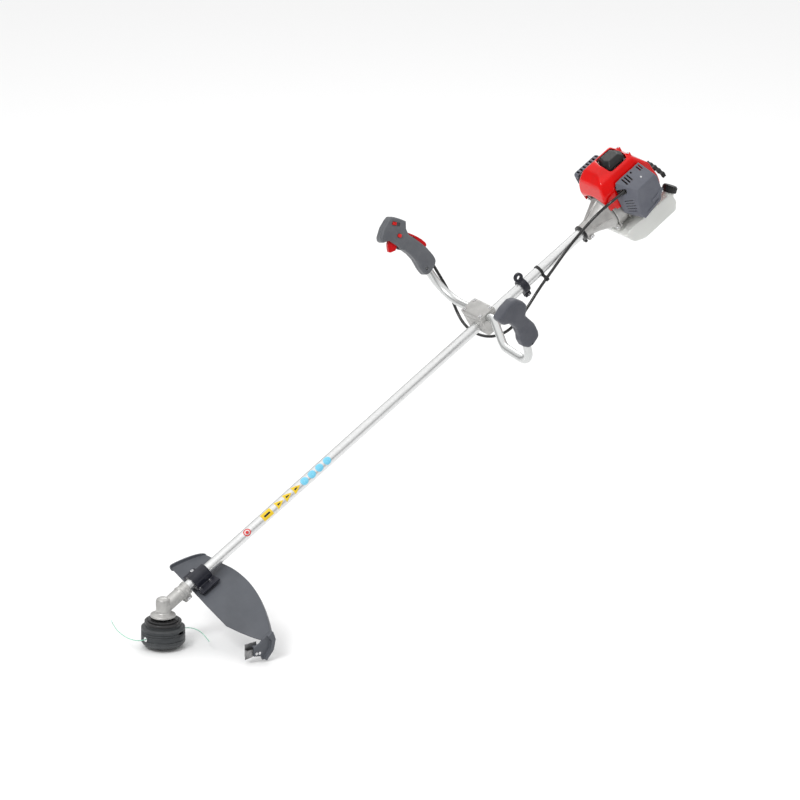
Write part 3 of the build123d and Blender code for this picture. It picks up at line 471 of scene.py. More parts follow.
def make_finishes(colours):
    """All finishes of the machine. Those of CAD pieces have the names of the record's slots."""
    GROUPS["surface_grain"] = grain_group()
    GROUPS["edge_wear"] = wear_group()
    GROUPS["settled_dust"] = dust_group()
    red = tuple(colours.shroud_red)
    grey = tuple(colours.guard_grey)
    silver = tuple(colours.tube_silver)
    finish("satin_tube", silver, tuple(0.94 * c for c in silver), (0.85, 0.85, 0.85), metallic=0.9,
           roughness=0.33, spread=0.04, grain=(1400.0, 0.06), blotch=5.0, dust=0.02)
    finish("cast_alloy", (0.50, 0.495, 0.48), (0.39, 0.385, 0.375), (0.8, 0.8, 0.78),
           metallic=0.65, roughness=0.46, grain=(1100.0, 0.35), blotch=26.0, reach=0.53, dust=0.05)
    finish("steel", (0.6, 0.6, 0.61), (0.5, 0.5, 0.52), (0.8, 0.8, 0.8), metallic=1.0,
           roughness=0.28, grain=(2200.0, 0.08), blotch=40.0)
    finish("bearing_steel", (0.75, 0.75, 0.76), (0.62, 0.62, 0.64), (0.9, 0.9, 0.9), metallic=1.0,
           roughness=0.2, grain=(2400.0, 0.05), blotch=60.0)
    finish("bush_rubber", (0.03, 0.03, 0.03), (0.05, 0.05, 0.05), (0.08, 0.08, 0.08),
           roughness=0.7)
    finish("guard_plastic", grey, tuple(0.8 * c for c in grey), tuple(1.6 * c for c in grey),
           roughness=0.45, spread=0.06, grain=(1500.0, 0.14), blotch=9.0, dust=0.03)
    finish("clamp_plastic", (0.009, 0.010, 0.017), (0.014, 0.015, 0.024), (0.05, 0.05, 0.06),
           roughness=0.4, grain=(1300.0, 0.12), blotch=30.0, dust=0.03)
    finish("knife_steel", (0.05, 0.05, 0.055), (0.09, 0.09, 0.095), (0.5, 0.5, 0.5), metallic=0.8,
           roughness=0.4, grain=(1800.0, 0.1), blotch=50.0)
    finish("grip_plastic", (0.125, 0.13, 0.14), (0.095, 0.1, 0.112), (0.24, 0.24, 0.25),
           roughness=0.42, spread=0.07, grain=(1700.0, 0.2), blotch=24.0, dust=0.03)
    finish("left_grip_rubber", (0.088, 0.092, 0.108), (0.068, 0.072, 0.088), (0.17, 0.17, 0.19),
           roughness=0.6, spread=0.06, grain=(1900.0, 0.25), blotch=26.0, dust=0.04, sheen=0.15)
    finish("cable_black", (0.012, 0.012, 0.012), (0.02, 0.02, 0.02), (0.05, 0.05, 0.05),
           roughness=0.2, grain=(700.0, 0.05), blotch=18.0, coat=0.3, dust=0.03)
    finish("shroud_red", red, tuple(0.8 * c for c in red), (0.9, 0.05, 0.04), roughness=0.22,
           spread=0.05, grain=(420.0, 0.04), blotch=10.0, coat=0.4, dust=0.0, reach=0.6,
           specular=0.2)
    finish("control_red", (0.62, 0.003, 0.006), (0.5, 0.002, 0.004), (0.8, 0.05, 0.04),
           roughness=0.3, spread=0.06, grain=(900.0, 0.06), blotch=30.0, coat=0.15, dust=0.0,
           specular=0.2)
    finish("cover_grey", (0.135, 0.142, 0.168), (0.108, 0.114, 0.14), (0.25, 0.255, 0.28),
           roughness=0.42, spread=0.07, grain=(1600.0, 0.2), blotch=20.0, dust=0.03)
    finish("black_plastic", (0.009, 0.009, 0.01), (0.015, 0.015, 0.016), (0.05, 0.05, 0.05),
           roughness=0.34, grain=(1400.0, 0.16), blotch=30.0, dust=0.03)
    finish("head_plastic", (0.04, 0.044, 0.047), (0.03, 0.033, 0.036), (0.17, 0.175, 0.18),
           roughness=0.44, grain=(1500.0, 0.22), blotch=28.0, dust=0.06)
    finish("tank_plastic", (0.94, 0.95, 0.92), (0.9, 0.91, 0.88), (0.97, 0.97, 0.96),
           roughness=0.38, spread=0.05, grain=(500.0, 0.12), blotch=11.0, transmission=0.35,
           dust=0.06)
    finish("muffler_steel", (0.36, 0.33, 0.3), (0.24, 0.2, 0.2), (0.6, 0.58, 0.55), metallic=1.0,
           roughness=0.45, grain=(1200.0, 0.2), blotch=22.0)
    finish("filter_foam", (0.05, 0.05, 0.045), (0.1, 0.1, 0.09), (0.14, 0.14, 0.13),
           roughness=0.95, grain=(650.0, 1.0), blotch=60.0, sheen=0.3)
    finish("line_nylon", (0.36, 0.74, 0.55), (0.45, 0.82, 0.66), (0.7, 0.95, 0.85), roughness=0.25,
           grain=(1500.0, 0.05), blotch=40.0, transmission=0.3, dust=0.02)
    finish("iron", (0.25, 0.25, 0.25), (0.17, 0.17, 0.17), (0.5, 0.5, 0.5), metallic=0.9,
           roughness=0.5, grain=(1100.0, 0.3))
    finish("plug_ceramic", (0.84, 0.83, 0.79), (0.8, 0.78, 0.73), (0.95, 0.95, 0.93),
           roughness=0.15, coat=0.5, grain=(600.0, 0.03))
    finish("sticker_yellow", (0.85, 0.6, 0.03), (0.78, 0.52, 0.02), (0.9, 0.8, 0.4), roughness=0.3,
           grain=(900.0, 0.04), dust=0.03)
    finish("sticker_blue", (0.2, 0.62, 0.82), (0.17, 0.55, 0.76), (0.6, 0.8, 0.9), roughness=0.3,
           grain=(900.0, 0.04), dust=0.03)
    finish("sticker_red", (0.7, 0.02, 0.02), (0.6, 0.01, 0.01), (0.8, 0.3, 0.3), roughness=0.3,
           grain=(900.0, 0.04), dust=0.03)


def dress(piece, finish_name):
    """Give a new piece its finish."""
    piece.data.materials.clear()
    piece.data.materials.append(MATERIALS[finish_name])
    return piece


# Sizes and colours that a user would change

class TrimmerSettings(bpy.types.PropertyGroup):
    """Sizes and colours of the trimmer's visible surfaces."""
    shroud_red: FloatVectorProperty(name="Shroud red",
                                    description="Colour of engine shroud and starter",
                                    subtype="COLOR", size=3, min=0, max=1,
                                    default=(0.80, 0.0015, 0.001))
    guard_grey: FloatVectorProperty(name="Guard grey", description="Colour of the debris guard",
                                    subtype="COLOR", size=3, min=0, max=1,
                                    default=(0.088, 0.095, 0.11))
    tube_silver: FloatVectorProperty(name="Tube silver",
                                     description="Colour of tube and handlebar", subtype="COLOR",
                                     size=3, min=0, max=1, default=(0.66, 0.67, 0.665))
    guard_wall: FloatProperty(name="Guard wall", description="Thickness of the guard's sheet",
                              unit="LENGTH", default=0.003, min=0.001, max=0.006)
    cable_width: FloatProperty(name="Cable width", description="Diameter of the throttle cable",
                               unit="LENGTH", default=0.008, min=0.004, max=0.01)
    line_width: FloatProperty(name="Line width", description="Diameter of the trimmer line",
                              unit="LENGTH", default=0.0024, min=0.001, max=0.004)


# Stage

VIEW_TURN = math.radians(34.8)
VIEW_RISE = math.radians(20.0)
VIEW_DISTANCE = 30.0
VIEW_WIDTH = 2.074
VIEW_CENTRE = (851, 0, -10)
VIEW_CLIP = 100.0
SENSOR_WIDTH = 36.0

FLOOR_REACH = 14
FLOOR_DROP = 0.001
FLOOR_SHADES = (0.88, 0.9)
# Strength of the surround at the horizon and overhead, and the height at which it is full
SURROUND_STRENGTH = (0.22, 1.12)
SURROUND_FULL = 0.75
# Lamps: name, place from the middle of the machine, power in watts and size in metres
LAMPS = (("key", (-3.4, -0.9, 3.0), 75, 1.4), ("rim", (1.8, 2.4, 2.6), 30, 2.0),
         ("side", (2.6, -2.4, 0.9), 5, 1.4))


class TRIMMER_OT_stage(bpy.types.Operator):
    """Pale floor, soft light and the camera"""
    bl_idname = "trimmer.stage"
    bl_label = "Stage"

    def execute(self, context):
        target = from_shaft(VIEW_CENTRE)
        away = np.array([-math.sin(VIEW_TURN) * math.cos(VIEW_RISE),
                         -math.cos(VIEW_TURN) * math.cos(VIEW_RISE), math.sin(VIEW_RISE)])
        lens = bpy.data.cameras.new("camera")
        lens.sensor_width = SENSOR_WIDTH
        lens.lens = SENSOR_WIDTH * VIEW_DISTANCE / VIEW_WIDTH
        lens.clip_end = VIEW_CLIP
        camera = bpy.data.objects.new("camera", lens)
        camera.location = target + away * VIEW_DISTANCE
        camera.rotation_euler = (math.pi / 2 - VIEW_RISE, 0, -VIEW_TURN)
        context.scene.collection.objects.link(camera)
        context.scene.camera = camera
        self.floor(START_BOX[0][2])
        self.lights(context, target)
        return {"FINISHED"}

    def floor(self, level):
        """Pale floor just under the lowest point."""
        edge = np.linspace(-FLOOR_REACH, FLOOR_REACH, 3)
        x, y = np.meshgrid(edge, edge, indexing="ij")
        height = np.full_like(x, level - FLOOR_DROP)
        ground = grid_piece("floor", np.stack([x, y, height], -1))
        material = bpy.data.materials.new("floor_paper")
        material.use_nodes = True
        nodes, links = material.node_tree.nodes, material.node_tree.links
        shader = nodes["Principled BSDF"]
        noise = nodes.new("ShaderNodeTexNoise")
        noise.inputs["Scale"].default_value = 3.0
        ramp = nodes.new("ShaderNodeMapRange")
        ramp.inputs["To Min"].default_value = FLOOR_SHADES[0]
        ramp.inputs["To Max"].default_value = FLOOR_SHADES[1]
        links.new(noise.outputs["Fac"], ramp.inputs["Value"])
        links.new(ramp.outputs["Result"], shader.inputs["Base Color"])
        shader.inputs["Roughness"].default_value = 0.9
        ground.data.materials.append(material)

    def lights(self, context, target):
        """Studio light: a white surround that is darker at the horizon, and three lamps."""
        world = bpy.data.worlds.new("surround")
        world.use_nodes = True
        nodes, links = world.node_tree.nodes, world.node_tree.links
        place = nodes.new("ShaderNodeTexCoord")
        parts = nodes.new("ShaderNodeSeparateXYZ")
        links.new(place.outputs["Generated"], parts.inputs[0])
        rise = nodes.new("ShaderNodeMapRange")
        rise.interpolation_type = "SMOOTHSTEP"
        rise.inputs["From Max"].default_value = SURROUND_FULL
        rise.inputs["To Min"].default_value = SURROUND_STRENGTH[0]
        rise.inputs["To Max"].default_value = SURROUND_STRENGTH[1]
        links.new(parts.outputs["Z"], rise.inputs["Value"])
        links.new(rise.outputs["Result"], nodes["Background"].inputs["Strength"])
        nodes["Background"].inputs["Color"].default_value = (1, 1, 1, 1)
        context.scene.world = world
        for name, place, power, size in LAMPS:
            lamp = bpy.data.lights.new(name, "AREA")
            lamp.energy = power
            lamp.size = size
            obj = bpy.data.objects.new(name, lamp)
            obj.location = target + np.array(place)
            ray = target - np.array(obj.location)
            obj.rotation_euler = (math.acos(-ray[2] / np.linalg.norm(ray)), 0,
                                  math.atan2(ray[1], ray[0]) - math.pi / 2)
            context.scene.collection.objects.link(obj)
        context.scene.view_settings.view_transform = "Standard"


# Cords

# Routes in millimetres: the cable's in the bracket's frame, the lines' in the head's frame
CABLE_ROUTE = [(26, 190, 104), (21, 172, 55), (17, 165, 12), (4, 150, -24), (-10, 118, -50),
               (-12, 75, -68), (4, 30, -78), (38, -2, -77), (82, -15, -63), (130, -21, -42),
               (170, -22, -26), (232, -20, -11), (290, -25, 10), (345, -29, 24), (402, -40, 40),
               (441, -66, 58), (478, -75, 62), (506, -74, 62)]
FRONT_LINE = [(-56, -5.9, -70), (-78, -8, -70), (-91, 20, -70), (-88, 61, -71), (-75, 112, -72),
              (-52, 164, -73)]
REAR_LINE = [(56, 5.9, -70), (78, 8, -70), (91, -20, -70), (87, -58, -71), (71, -106, -72)]

# Control points that a cord's spline takes at a time, and how finely it is drawn
CORD_ORDER = 3
CORD_STEPS = 16
CORD_BEVEL_STEPS = 5


def cord_piece(name, points, width, finish_name, body, **facts):
    """Round cord on one smooth NURBS curve whose control points are the route."""
    curve = bpy.data.curves.new(name, "CURVE")
    curve.dimensions = "3D"
    curve.bevel_depth = width / 2
    curve.bevel_resolution = CORD_BEVEL_STEPS
    curve.resolution_u = CORD_STEPS
    curve.use_fill_caps = True
    spline = curve.splines.new("NURBS")
    spline.points.add(len(points) - 1)
    spline.points.foreach_set("co", np.concatenate([points, np.ones((len(points), 1))], 1).ravel())
    spline.order_u = CORD_ORDER
    spline.use_endpoint_u = True
    piece = bpy.data.objects.new(name, curve)
    bpy.context.scene.collection.objects.link(piece)
    dress(piece, finish_name)
    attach(piece, body)
    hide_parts(name)
    piece.name = name + "_cord"
    return piece


class TRIMMER_OT_cords(bpy.types.Operator):
    """Throttle cable and the two trimmer lines"""
    bl_idname = "trimmer.cords"
    bl_label = "Cords"

    def execute(self, context):
        sizes = context.scene.trimmer
        cord_piece("throttle_cable", from_bracket(CABLE_ROUTE), sizes.cable_width, "cable_black",
                   "frame", length=0.82, far_end="object", stiffness="medium", lay="hanging")
        cord_piece("trimmer_line_front", from_head(FRONT_LINE), sizes.line_width, "line_nylon",
                   "head", length=0.2, far_end="bare", stiffness="stiff", lay="loose")
        cord_piece("trimmer_line_rear", from_head(REAR_LINE), sizes.line_width, "line_nylon",
                   "head", length=0.138, far_end="bare", stiffness="stiff", lay="loose")
        return {"FINISHED"}


# Guard

def smooth_curve(knots, values, at):
    """Values at new places along a chain of knots, by cubic Hermite curves between them."""
    knots, values, at = (np.asarray(v, float) for v in (knots, values, at))
    slopes = np.gradient(values, knots)
    i = np.clip(np.searchsorted(knots, at) - 1, 0, len(knots) - 2)
    span = knots[i + 1] - knots[i]
    t = (at - knots[i]) / span
    start = (1 + 2 * t) * (1 - t) ** 2
    start_slope = t * (1 - t) ** 2
    end = t * t * (3 - 2 * t)
    end_slope = t * t * (t - 1)
    return (start * values[i] + start_slope * span * slopes[i] + end * values[i + 1]
            + end_slope * span * slopes[i + 1])


def cut_corners(points, rounds):
    """Closed outline rounded by cutting its corners a quarter of the way along their sides."""
    points = np.asarray(points, float)
    for _ in range(rounds):
        after = np.roll(points, -1, 0)
        pairs = np.stack([0.75 * points + 0.25 * after, 0.25 * points + 0.75 * after], 1)
        points = pairs.reshape(-1, points.shape[1])
    return points


def even_steps(points, count):
    """Closed outline resampled at even distances."""
    closed = np.concatenate([points, points[:1]])
    length = np.concatenate([[0], np.cumsum(np.linalg.norm(np.diff(closed, axis=0), axis=1))])
    at = np.linspace(0, length[-1], count + 1)[:-1]
    return np.stack([np.interp(at, length, closed[:, axis]) for axis in range(closed.shape[1])], 1)


# Cross-section of the guard: distances to the side, and its heights over the tube's axis there
GUARD_HEIGHT = ((-240, -182, -140, -85, -45, 10, 60, 96, 120),
                (-116, -88, -63, -40, -28, -25.5, -21, -16, -6))
# Plan of the guard: places along the tube, to the side, and how far the edge turns down there (up
# if negative)
GUARD_OUTLINE = ((116, 113, 0), (117, 116, -7), (120, 116, -9), (140, 110, -9), (164, 101, -9),
                 (184, 91, -8), (200, 80, -4), (203, 70, 5), (205, 30, 7), (207, -30, 8),
                 (206, -85, 9), (198, -125, 12), (184, -160, 15), (162, -196, 18), (138, -230, 18),
                 (134, -232, 12), (108, -232, 3), (102, -222, 3), (88, -185, 3), (75.5, -150, 3),
                 (74, -145, 3), (75, -140, 3), (80, -95, 3), (87, -45, 3), (104, 35, 3),
                 (116, 100, 1))
GUARD_MIDDLE = (142, -60)
GUARD_CORNER_CUTS = 3
GUARD_RINGS = 70
GUARD_STEPS = 420
GUARD_LEAST_RING = 0.02
# The crown's height, the place to the side from which it grows, and the width over which it does
GUARD_CROWN = 3.0
GUARD_CROWN_FROM = 40
GUARD_CROWN_WIDTH = 200
RIM_RINGS = 8
RIM_LEAST_TURN = 0.12
RIM_OUT = 1.6
RIM_DROP_POWER = 1.6


def guard_surface(rings, steps):
    """Curved sheet: rings shrunk from the plan's outline to its middle lie on the guard's
    cross-section with a slight crown, and past the outline the sheet curls over into its rim."""
    outline = even_steps(cut_corners(GUARD_OUTLINE, GUARD_CORNER_CUTS), steps)
    plan, turned = outline[:, :2], outline[:, 2]
    side = np.roll(plan, -1, 0) - np.roll(plan, 1, 0)
    away = np.stack([side[:, 1], -side[:, 0]], 1) / np.linalg.norm(side, axis=1, keepdims=True)
    if (away * (plan - GUARD_MIDDLE)).sum() < 0:
        away = -away
    levels = []
    for ring in np.linspace(GUARD_LEAST_RING, 1, rings):
        spot = GUARD_MIDDLE + (plan - GUARD_MIDDLE) * ring
        height = smooth_curve(*GUARD_HEIGHT, spot[:, 1])
        share = np.clip((GUARD_CROWN_FROM - spot[:, 1]) / GUARD_CROWN_WIDTH, 0, 1)
        crown = GUARD_CROWN * (1 - ring ** 2) * share
        levels.append(np.column_stack([spot, height + crown]))
    edge = levels[-1]
    for turn in np.linspace(RIM_LEAST_TURN, 1, RIM_RINGS):
        drop = turned * turn ** RIM_DROP_POWER
        out = RIM_OUT * np.sin(turn * math.pi / 2)
        levels.append(np.column_stack([edge[:, :2] + away * out, edge[:, 2] - drop]))
    return np.array(levels)


class TRIMMER_OT_guard(bpy.types.Operator):
    """Debris guard with its rim and the upturned lip of its far wing"""
    bl_idname = "trimmer.guard"
    bl_label = "Guard"

    def execute(self, context):
        surface = from_shaft(guard_surface(GUARD_RINGS, GUARD_STEPS))
        sheet = grid_piece("guard_sheet", surface, close_v=True, caps="first")
        if sheet.data.polygons[5].normal.z < 0:
            sheet.data.flip_normals()
        thicken(sheet, context.scene.trimmer.guard_wall / MM, -1.0, False)
        point_outwards(sheet)
        sheet.data.shade_smooth()
        dress(sheet, "guard_plastic")
        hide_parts("guard_shield")
        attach(sheet, "frame")
        return {"FINISHED"}


# Engine covers

def cut_away(piece, cutters):
    """Cut window shapes out of a piece."""
    for cutter in cutters:
        cut = piece.modifiers.new("window", "BOOLEAN")
        cut.operation = "DIFFERENCE"
        cut.solver = "EXACT"
        cut.object = cutter
    apply_modifiers(piece)
    for cutter in cutters:
        bpy.data.objects.remove(cutter)


ROD_STEPS = 48


def rod(name, place, start, end, radius):
    """Closed cylinder from start to end in a local frame, as rings of points round its axis."""
    start, end = np.array(start, float), np.array(end, float)
    along = (end - start) / np.linalg.norm(end - start)
    side = np.cross(along, (0.3, 0.2, 0.9))
    side /= np.linalg.norm(side)
    turn = np.linspace(0, 2 * math.pi, ROD_STEPS + 1)[:-1, None]
    ring = radius * (np.cos(turn) * side + np.sin(turn) * np.cross(along, side))
    piece = grid_piece(name, place(np.stack([start + ring, end + ring])), close_v=True,
                       caps="both")
    point_outwards(piece)
    return piece


# Sides at which the two screw bosses stand on the shroud, and the capsule kept round each
BOSS_SIDES = (9, -33)
BOSS_KEPT = 0.0068


class TRIMMER_OT_shroud(bpy.types.Operator):
    """Glossy engine shroud with its screw bosses, openings and rounded shoulders"""
    bl_idname = "trimmer.shroud"
    bl_label = "Engine shroud"

    def execute(self, context):
        kept = [(from_engine([121, y, 108]), from_engine([121, y, 125]), BOSS_KEPT)
                for y in BOSS_SIDES]
        shroud = soften("shroud_skin", ["engine_shroud"], "frame", 1.4, 4, 90, kept)
        dress(shroud, "shroud_red")
        return {"FINISHED"}


# Places along the engine of the slots in the cover's top, and the capsule kept round each
SLOT_PLACES = (58, 67, 76, 88, 112, 119)
SLOT_KEPT = 0.006
# Heights of the louvres in the cover's side, the share of the side that they cross, and their
# section
LOUVRE_LEVELS = (4, 12, 20, 28, 36)
LOUVRE_SPAN = (0.3, 0.92)
LOUVRE_SECTION = (5.0, 2.6)
# Raised bars of the cover: name, start, end, width and height in the engine's frame
FILTER_BARS = (("filter_latch_bar", (84, -109.2, 1), (121, -109.2, 8), 4.4, 7),
               ("filter_side_rib", (58, -109, -16), (104, -109, -7), 3.4, 3),
               ("filter_latch_foot", (110, -107.6, 5), (128, -106.8, 13), 5, 9))
# Knob of the cover: middle, radius and height, how it leans with the cover's sloping top, and how
# far up its dome the last ring lies
KNOB_MIDDLE = (98, -88, 68)
KNOB_RADIUS = 5.4
KNOB_HEIGHT = 4.2
KNOB_SHIFT = 1.2
KNOB_SLOPE = 0.55
KNOB_CLOSING = 0.96


class TRIMMER_OT_filter_cover(bpy.types.Operator):
    """Grey filter cover with slots, louvres, latch bar and knob"""
    bl_idname = "trimmer.filter_cover"
    bl_label = "Filter cover"

    def execute(self, context):
        slots = [(from_engine([x, -82, 60]), from_engine([x, -58, 96]), SLOT_KEPT)
                 for x in SLOT_PLACES]
        cover = soften("air_filter_cover", ["filter_cover"], "filter_lid", 1.1, 3, 22, slots)
        grooves = []
        for level in LOUVRE_LEVELS:
            inner = np.array([20.5 + 0.035 * level, -62, level])
            outer = np.array([40.5 + 0.3 * level, -101, level])
            start, end = (inner + (outer - inner) * share for share in LOUVRE_SPAN)
            grooves.append(beam("groove", from_engine, start, end, *LOUVRE_SECTION))
        cut_away(cover, grooves)
        dress(cover, "cover_grey")
        for name, start, end, wide, high in FILTER_BARS:
            bar = beam(name, from_engine, start, end, wide, high, rounded=1.0)
            dress(bar, "cover_grey")
            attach(bar, "filter_lid")
        piece = grid_piece("filter_knob", from_engine(self.knob()), close_v=True, caps="both")
        point_outwards(piece)
        dress(piece, "steel")
        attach(piece, "filter_lid")
        return {"FINISHED"}

    def knob(self):
        """Rings of points from the knob's foot to its domed top."""
        turn, rise = np.meshgrid(np.linspace(0, 2 * math.pi, 41)[:-1], np.linspace(0, 1, 9),
                                 indexing="ij")
        radius = KNOB_RADIUS * np.sqrt(np.clip(1 - (rise * KNOB_CLOSING) ** 4, 0, 1))
        x, y, z = KNOB_MIDDLE
        rings = np.stack([x + radius * np.cos(turn), y + radius * np.sin(turn) - KNOB_SHIFT * rise,
                          z + KNOB_SLOPE * radius * np.sin(turn) + KNOB_HEIGHT * rise], -1)
        return rings.transpose(1, 0, 2)


# Grips

# Capsules (start, end, radius) of the throttle handle that keep their shape: the bar's bore, the
# seats of slider, button and screws, both ends of the trigger's opening, the lever's opening and
# the cable's exit
GRIP_KEPT = [((0, 0, -12), (7.4, 0, 190), 12.0), ((3.9, -18, 242), (3.9, -18, 242), 15.0),
             ((-9, -18, 213), (-9, -18, 213), 7.5), ((-1.6, -18, 95.6), (-1.6, -18, 95.6), 6.5),
             ((-1.6, 18, 95.6), (-1.6, 18, 95.6), 6.5), ((-44, 0, 220), (-44, 0, 220), 8.0),
             ((-30, 0, 186), (-22, 0, 180), 9.0), ((28, 0, 200), (34, 0, 135), 10.5),
             ((22, 3, 70), (22, 3, 96), 6.5)]
# Half the width of the parting line between the handle's halves, and its depth
PARTING_LINE = (0.9, 0.7)
# Hole of the throttle lock button: start, end and radius
BUTTON_HOLE = ((-9, -26, 213), (-9, -10.4, 213), 5.4)
# Kept capsules of the left grip: the bar's bore and the small hole in its outer side
LEFT_GRIP_KEPT = [((-50, -262, -15), (-10, -272.5, 159), 11.8),
                  ((-29, -289, 51), (-29, -289, 51), 5.0)]


class TRIMMER_OT_grips(bpy.types.Operator):
    """Rounded throttle handle with its parting line, and the plain left grip"""
    bl_idname = "trimmer.grips"
    bl_label = "Grips"

    def execute(self, context):
        kept = [(from_grip(p), from_grip(q), r * MM) for p, q, r in GRIP_KEPT]
        halves = ["throttle_grip_inner", "throttle_grip_outer"]
        handle = soften("throttle_handle", halves, "frame", 0.9, 3, 40, kept)
        origin = from_grip([0, 0, 0])
        side = from_grip([0, 1, 0]) - origin
        engrave_plane(handle, origin, side / np.linalg.norm(side), *PARTING_LINE)
        cut_away(handle, [rod("button_hole", from_grip, *BUTTON_HOLE)])
        dress(handle, "grip_plastic")
        kept = [(from_bracket(p), from_bracket(q), r * MM) for p, q, r in LEFT_GRIP_KEPT]
        left = soften("left_hand_grip", ["left_grip"], "frame", 1.2, 4, 45, kept)
        dress(left, "left_grip_rubber")
        return {"FINISHED"}


# Pull handle

PULL_TURN = math.radians(20)
# The handle's grip lies beyond this distance from the engine's front face; its finger segments
# repeat along it and swell to its full size from the hollows between them
PULL_GRIP_FROM = 175
PULL_SEGMENT = 15.5
PULL_SWELL = 0.9


class TRIMMER_OT_pull_handle(bpy.types.Operator):
    """Recoil handle with finger segments"""
    bl_idname = "trimmer.pull_handle"
    bl_label = "Pull handle"

    def execute(self, context):
        piece = soften("recoil_handle", ["starter_handle"], "pull_handle", 0.8, 6)
        points = vertex_array(piece)
        origin = from_engine([0, 0, 0])
        side = from_engine([0, math.cos(PULL_TURN), math.sin(PULL_TURN)]) - origin
        side /= np.linalg.norm(side)
        along = (points - origin) @ side / MM
        outward = from_engine([1, 0, 0]) - origin
        outward /= np.linalg.norm(outward)
        gripped = (points - origin) @ outward / MM > PULL_GRIP_FROM
        swell = PULL_SWELL * np.cos(along * 2 * math.pi / PULL_SEGMENT) - PULL_SWELL
        move = np.where(gripped, swell, 0)
        set_vertices(piece, points + vertex_array(piece, "normal") * move[:, None] * MM)
        dress(piece, "black_plastic")
        return {"FINISHED"}


# Pieces that follow one CAD node: name, node, body, voxel in millimetres, rounds of relaxing,
# rounds of broad rounding, finish
MOULDINGS = (("exhaust_guard", "muffler_guard", "frame", 1.2, 5, 0, "cover_grey"),
             ("tank_shell", "fuel_tank", "frame", 1.5, 6, 12, "tank_plastic"),
             ("plug_cover", "plug_cap", "frame", 0.9, 4, 22, "black_plastic"),
             ("recoil_housing", "starter_housing", "frame", 1.2, 4, 0, "shroud_red"),
             ("tube_clamp", "guard_clamp", "frame", 0.9, 4, 0, "clamp_plastic"),
             ("guard_end", "guard_skirt", "frame", 1.0, 4, 0, "guard_plastic"),
             ("red_trigger", "throttle_trigger", "trigger", 0.6, 5, 10, "control_red"),
             ("red_lever", "lockout_lever", "lockout", 0.6, 5, 10, "control_red"),
             ("tube_end_collar", "tube_collar", "frame", 0.8, 3, 0, "black_plastic"),
             ("cable_tie", "cable_clip", "frame", 0.7, 3, 0, "black_plastic"),
             ("harness_hanger", "harness_clamp", "frame", 0.8, 3, 0, "clamp_plastic"))
CASTINGS = (("gear_casting", "gear_case", "frame", 0.9, 5, 0, "cast_alloy"),
            ("bracket_casting", "handle_bracket", "frame", 1.0, 12, 0, "cast_alloy"),
            ("bracket_cap_casting", "bracket_cap", "frame", 1.0, 12, 0, "cast_alloy"),
            ("clutch_casting", "clutch_housing", "frame", 1.2, 4, 0, "cast_alloy"),
            ("engine_casting", "crankcase", "frame", 1.5, 4, 0, "cast_alloy"))


class TRIMMER_OT_mouldings(bpy.types.Operator):
    """Moulded covers, clamps and tank with softened edges"""
    bl_idname = "trimmer.mouldings"
    bl_label = "Moulded pieces"

    def execute(self, context):
        for name, node, body, voxel, rounds, broad, finish_name in MOULDINGS:
            dress(soften(name, [node], body, voxel, rounds, broad), finish_name)
        return {"FINISHED"}


class TRIMMER_OT_castings(bpy.types.Operator):
    """Cast pieces with softened edges"""
    bl_idname = "trimmer.castings"
    bl_label = "Cast pieces"

    def execute(self, context):
        for name, node, body, voxel, rounds, broad, finish_name in CASTINGS:
            dress(soften(name, [node], body, voxel, rounds, broad), finish_name)
        return {"FINISHED"}


class TRIMMER_OT_finishes(bpy.types.Operator):
    """Procedural finish on every CAD piece"""
    bl_idname = "trimmer.finishes"
    bl_label = "Finishes"

    def execute(self, context):
        slots = {part["node"]: part["material_slot"] for part in frame["record"]["subparts"]}
        for node, obj in frame["nodes"].items():
            if len(obj.material_slots):
                for socket in obj.material_slots:
                    socket.material = MATERIALS[slots[node]]
            else:
                obj.data.materials.append(MATERIALS[slots[node]])
        return {"FINISHED"}


# Stickers on the tube, in millimetres

TUBE_RADIUS = 14.0
STICKER_SIDE = math.radians(48)
STICKER_WALL = 0.12
# Heights of stickers over the tube: stuck on it, and on top of another sticker
ON_TUBE, ON_STICKER = 0.1, 0.25
# Places of the stickers along the tube
RING_PLACE = 300
PANEL_PLACE = 372
TRIANGLE_PLACES = (417, 447, 478)
DISC_PLACES = (507, 534, 561, 589)
# A full disc still has a tiny hole, so that its inner points don't coincide
DISC_HOLE = 0.3


def sticker_surface(along, arc, lift):
    """Places round the tube at arc lengths from the side that faces up and out."""
    angle = STICKER_SIDE + arc / TUBE_RADIUS
    radius = TUBE_RADIUS + lift
    return np.stack([along, -radius * np.sin(angle), radius * np.cos(angle)], -1)


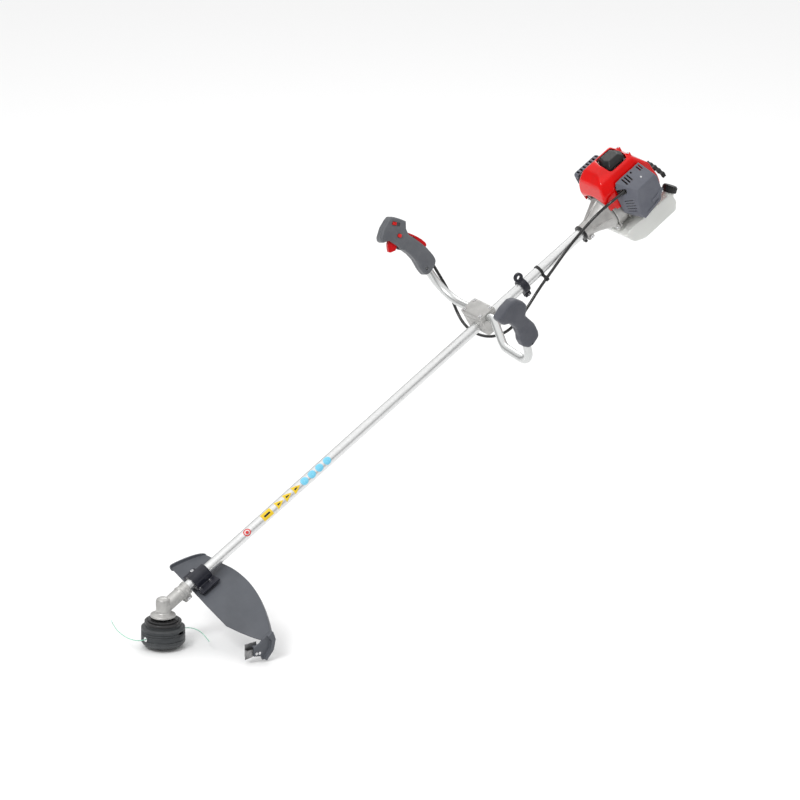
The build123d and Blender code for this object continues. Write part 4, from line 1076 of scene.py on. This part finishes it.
class TRIMMER_OT_stickers(bpy.types.Operator):
    """Plain generic stickers on the tube"""
    bl_idname = "trimmer.stickers"
    bl_label = "Stickers"

    def disc(self, name, centre, outer, inner, lift, finish_name):
        """Round or ring sticker: polar grid wrapped on the tube."""
        radius, turn = np.meshgrid(np.linspace(inner, outer, 6),
                                   np.linspace(0, 2 * math.pi, 40)[:-1], indexing="ij")
        points = sticker_surface(centre + radius * np.cos(turn), radius * np.sin(turn), lift)
        self.stick(grid_piece(name, from_shaft(points), close_v=True), finish_name)

    def panel(self, name, centre, length, width, lift, finish_name, point):
        """Panel or triangle: along the tube it narrows by the share that point gives."""
        along, across = np.meshgrid(np.linspace(-0.5, 0.5, 14), np.linspace(-0.5, 0.5, 12),
                                    indexing="ij")
        narrow = 1 - point * (along + 0.5)
        points = sticker_surface(centre + along * length, across * width * narrow, lift)
        self.stick(grid_piece(name, from_shaft(points)), finish_name)

    def stick(self, piece, finish_name):
        """Give a sticker its thickness, finish and body."""
        thicken(piece, STICKER_WALL, 0.0)
        point_outwards(piece)
        dress(piece, finish_name)
        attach(piece, "frame")

    def execute(self, context):
        self.disc("sticker_ring", RING_PLACE, 10.5, 7.5, ON_TUBE, "sticker_red")
        self.disc("sticker_dot", RING_PLACE, 4.5, DISC_HOLE, ON_TUBE, "sticker_red")
        self.panel("sticker_panel", PANEL_PLACE, 34, 22, ON_TUBE, "sticker_yellow", 0.0)
        self.panel("sticker_panel_band", PANEL_PLACE, 20, 5, ON_STICKER, "black_plastic", 0.0)
        for index, centre in enumerate(TRIANGLE_PLACES):
            self.panel(f"sticker_triangle_{index}", centre, 24, 25, ON_TUBE, "sticker_yellow",
                       0.94)
            self.panel(f"sticker_triangle_mark_{index}", centre - 2, 10, 5, ON_STICKER,
                       "black_plastic", 0.6)
        for index, centre in enumerate(DISC_PLACES):
            self.disc(f"sticker_disc_{index}", centre, 11.5, DISC_HOLE, ON_TUBE, "sticker_blue")
        return {"FINISHED"}


class TRIMMER_PT_panel(bpy.types.Panel):
    """Lists the steps that build the trimmer"""
    bl_idname = "TRIMMER_PT_panel"
    bl_label = "String Trimmer"
    bl_space_type = "VIEW_3D"
    bl_region_type = "UI"
    bl_category = "Trimmer"

    def draw(self, context):
        for name in TrimmerSettings.__annotations__:
            self.layout.prop(context.scene.trimmer, name)
        for step in STEPS:
            self.layout.operator(step.bl_idname)


STEPS = (TRIMMER_OT_stage, TRIMMER_OT_cords, TRIMMER_OT_finishes, TRIMMER_OT_guard,
         TRIMMER_OT_shroud, TRIMMER_OT_filter_cover, TRIMMER_OT_grips, TRIMMER_OT_pull_handle,
         TRIMMER_OT_mouldings, TRIMMER_OT_castings, TRIMMER_OT_stickers)
CLASSES = (TrimmerSettings, *STEPS, TRIMMER_PT_panel)


def register():
    """Register all classes and the settings."""
    for item in CLASSES:
        bpy.utils.register_class(item)
    bpy.types.Scene.trimmer = PointerProperty(type=TrimmerSettings)


def unregister():
    """Remove all classes and the settings."""
    del bpy.types.Scene.trimmer
    for item in reversed(CLASSES):
        bpy.utils.unregister_class(item)


def main():
    """Build everything in order."""
    register()
    make_finishes(bpy.context.scene.trimmer)
    for step in STEPS:
        area, name = step.bl_idname.split(".")
        getattr(getattr(bpy.ops, area), name)()
    bpy.context.view_layer.update()


if __name__ == "__main__":
    main()
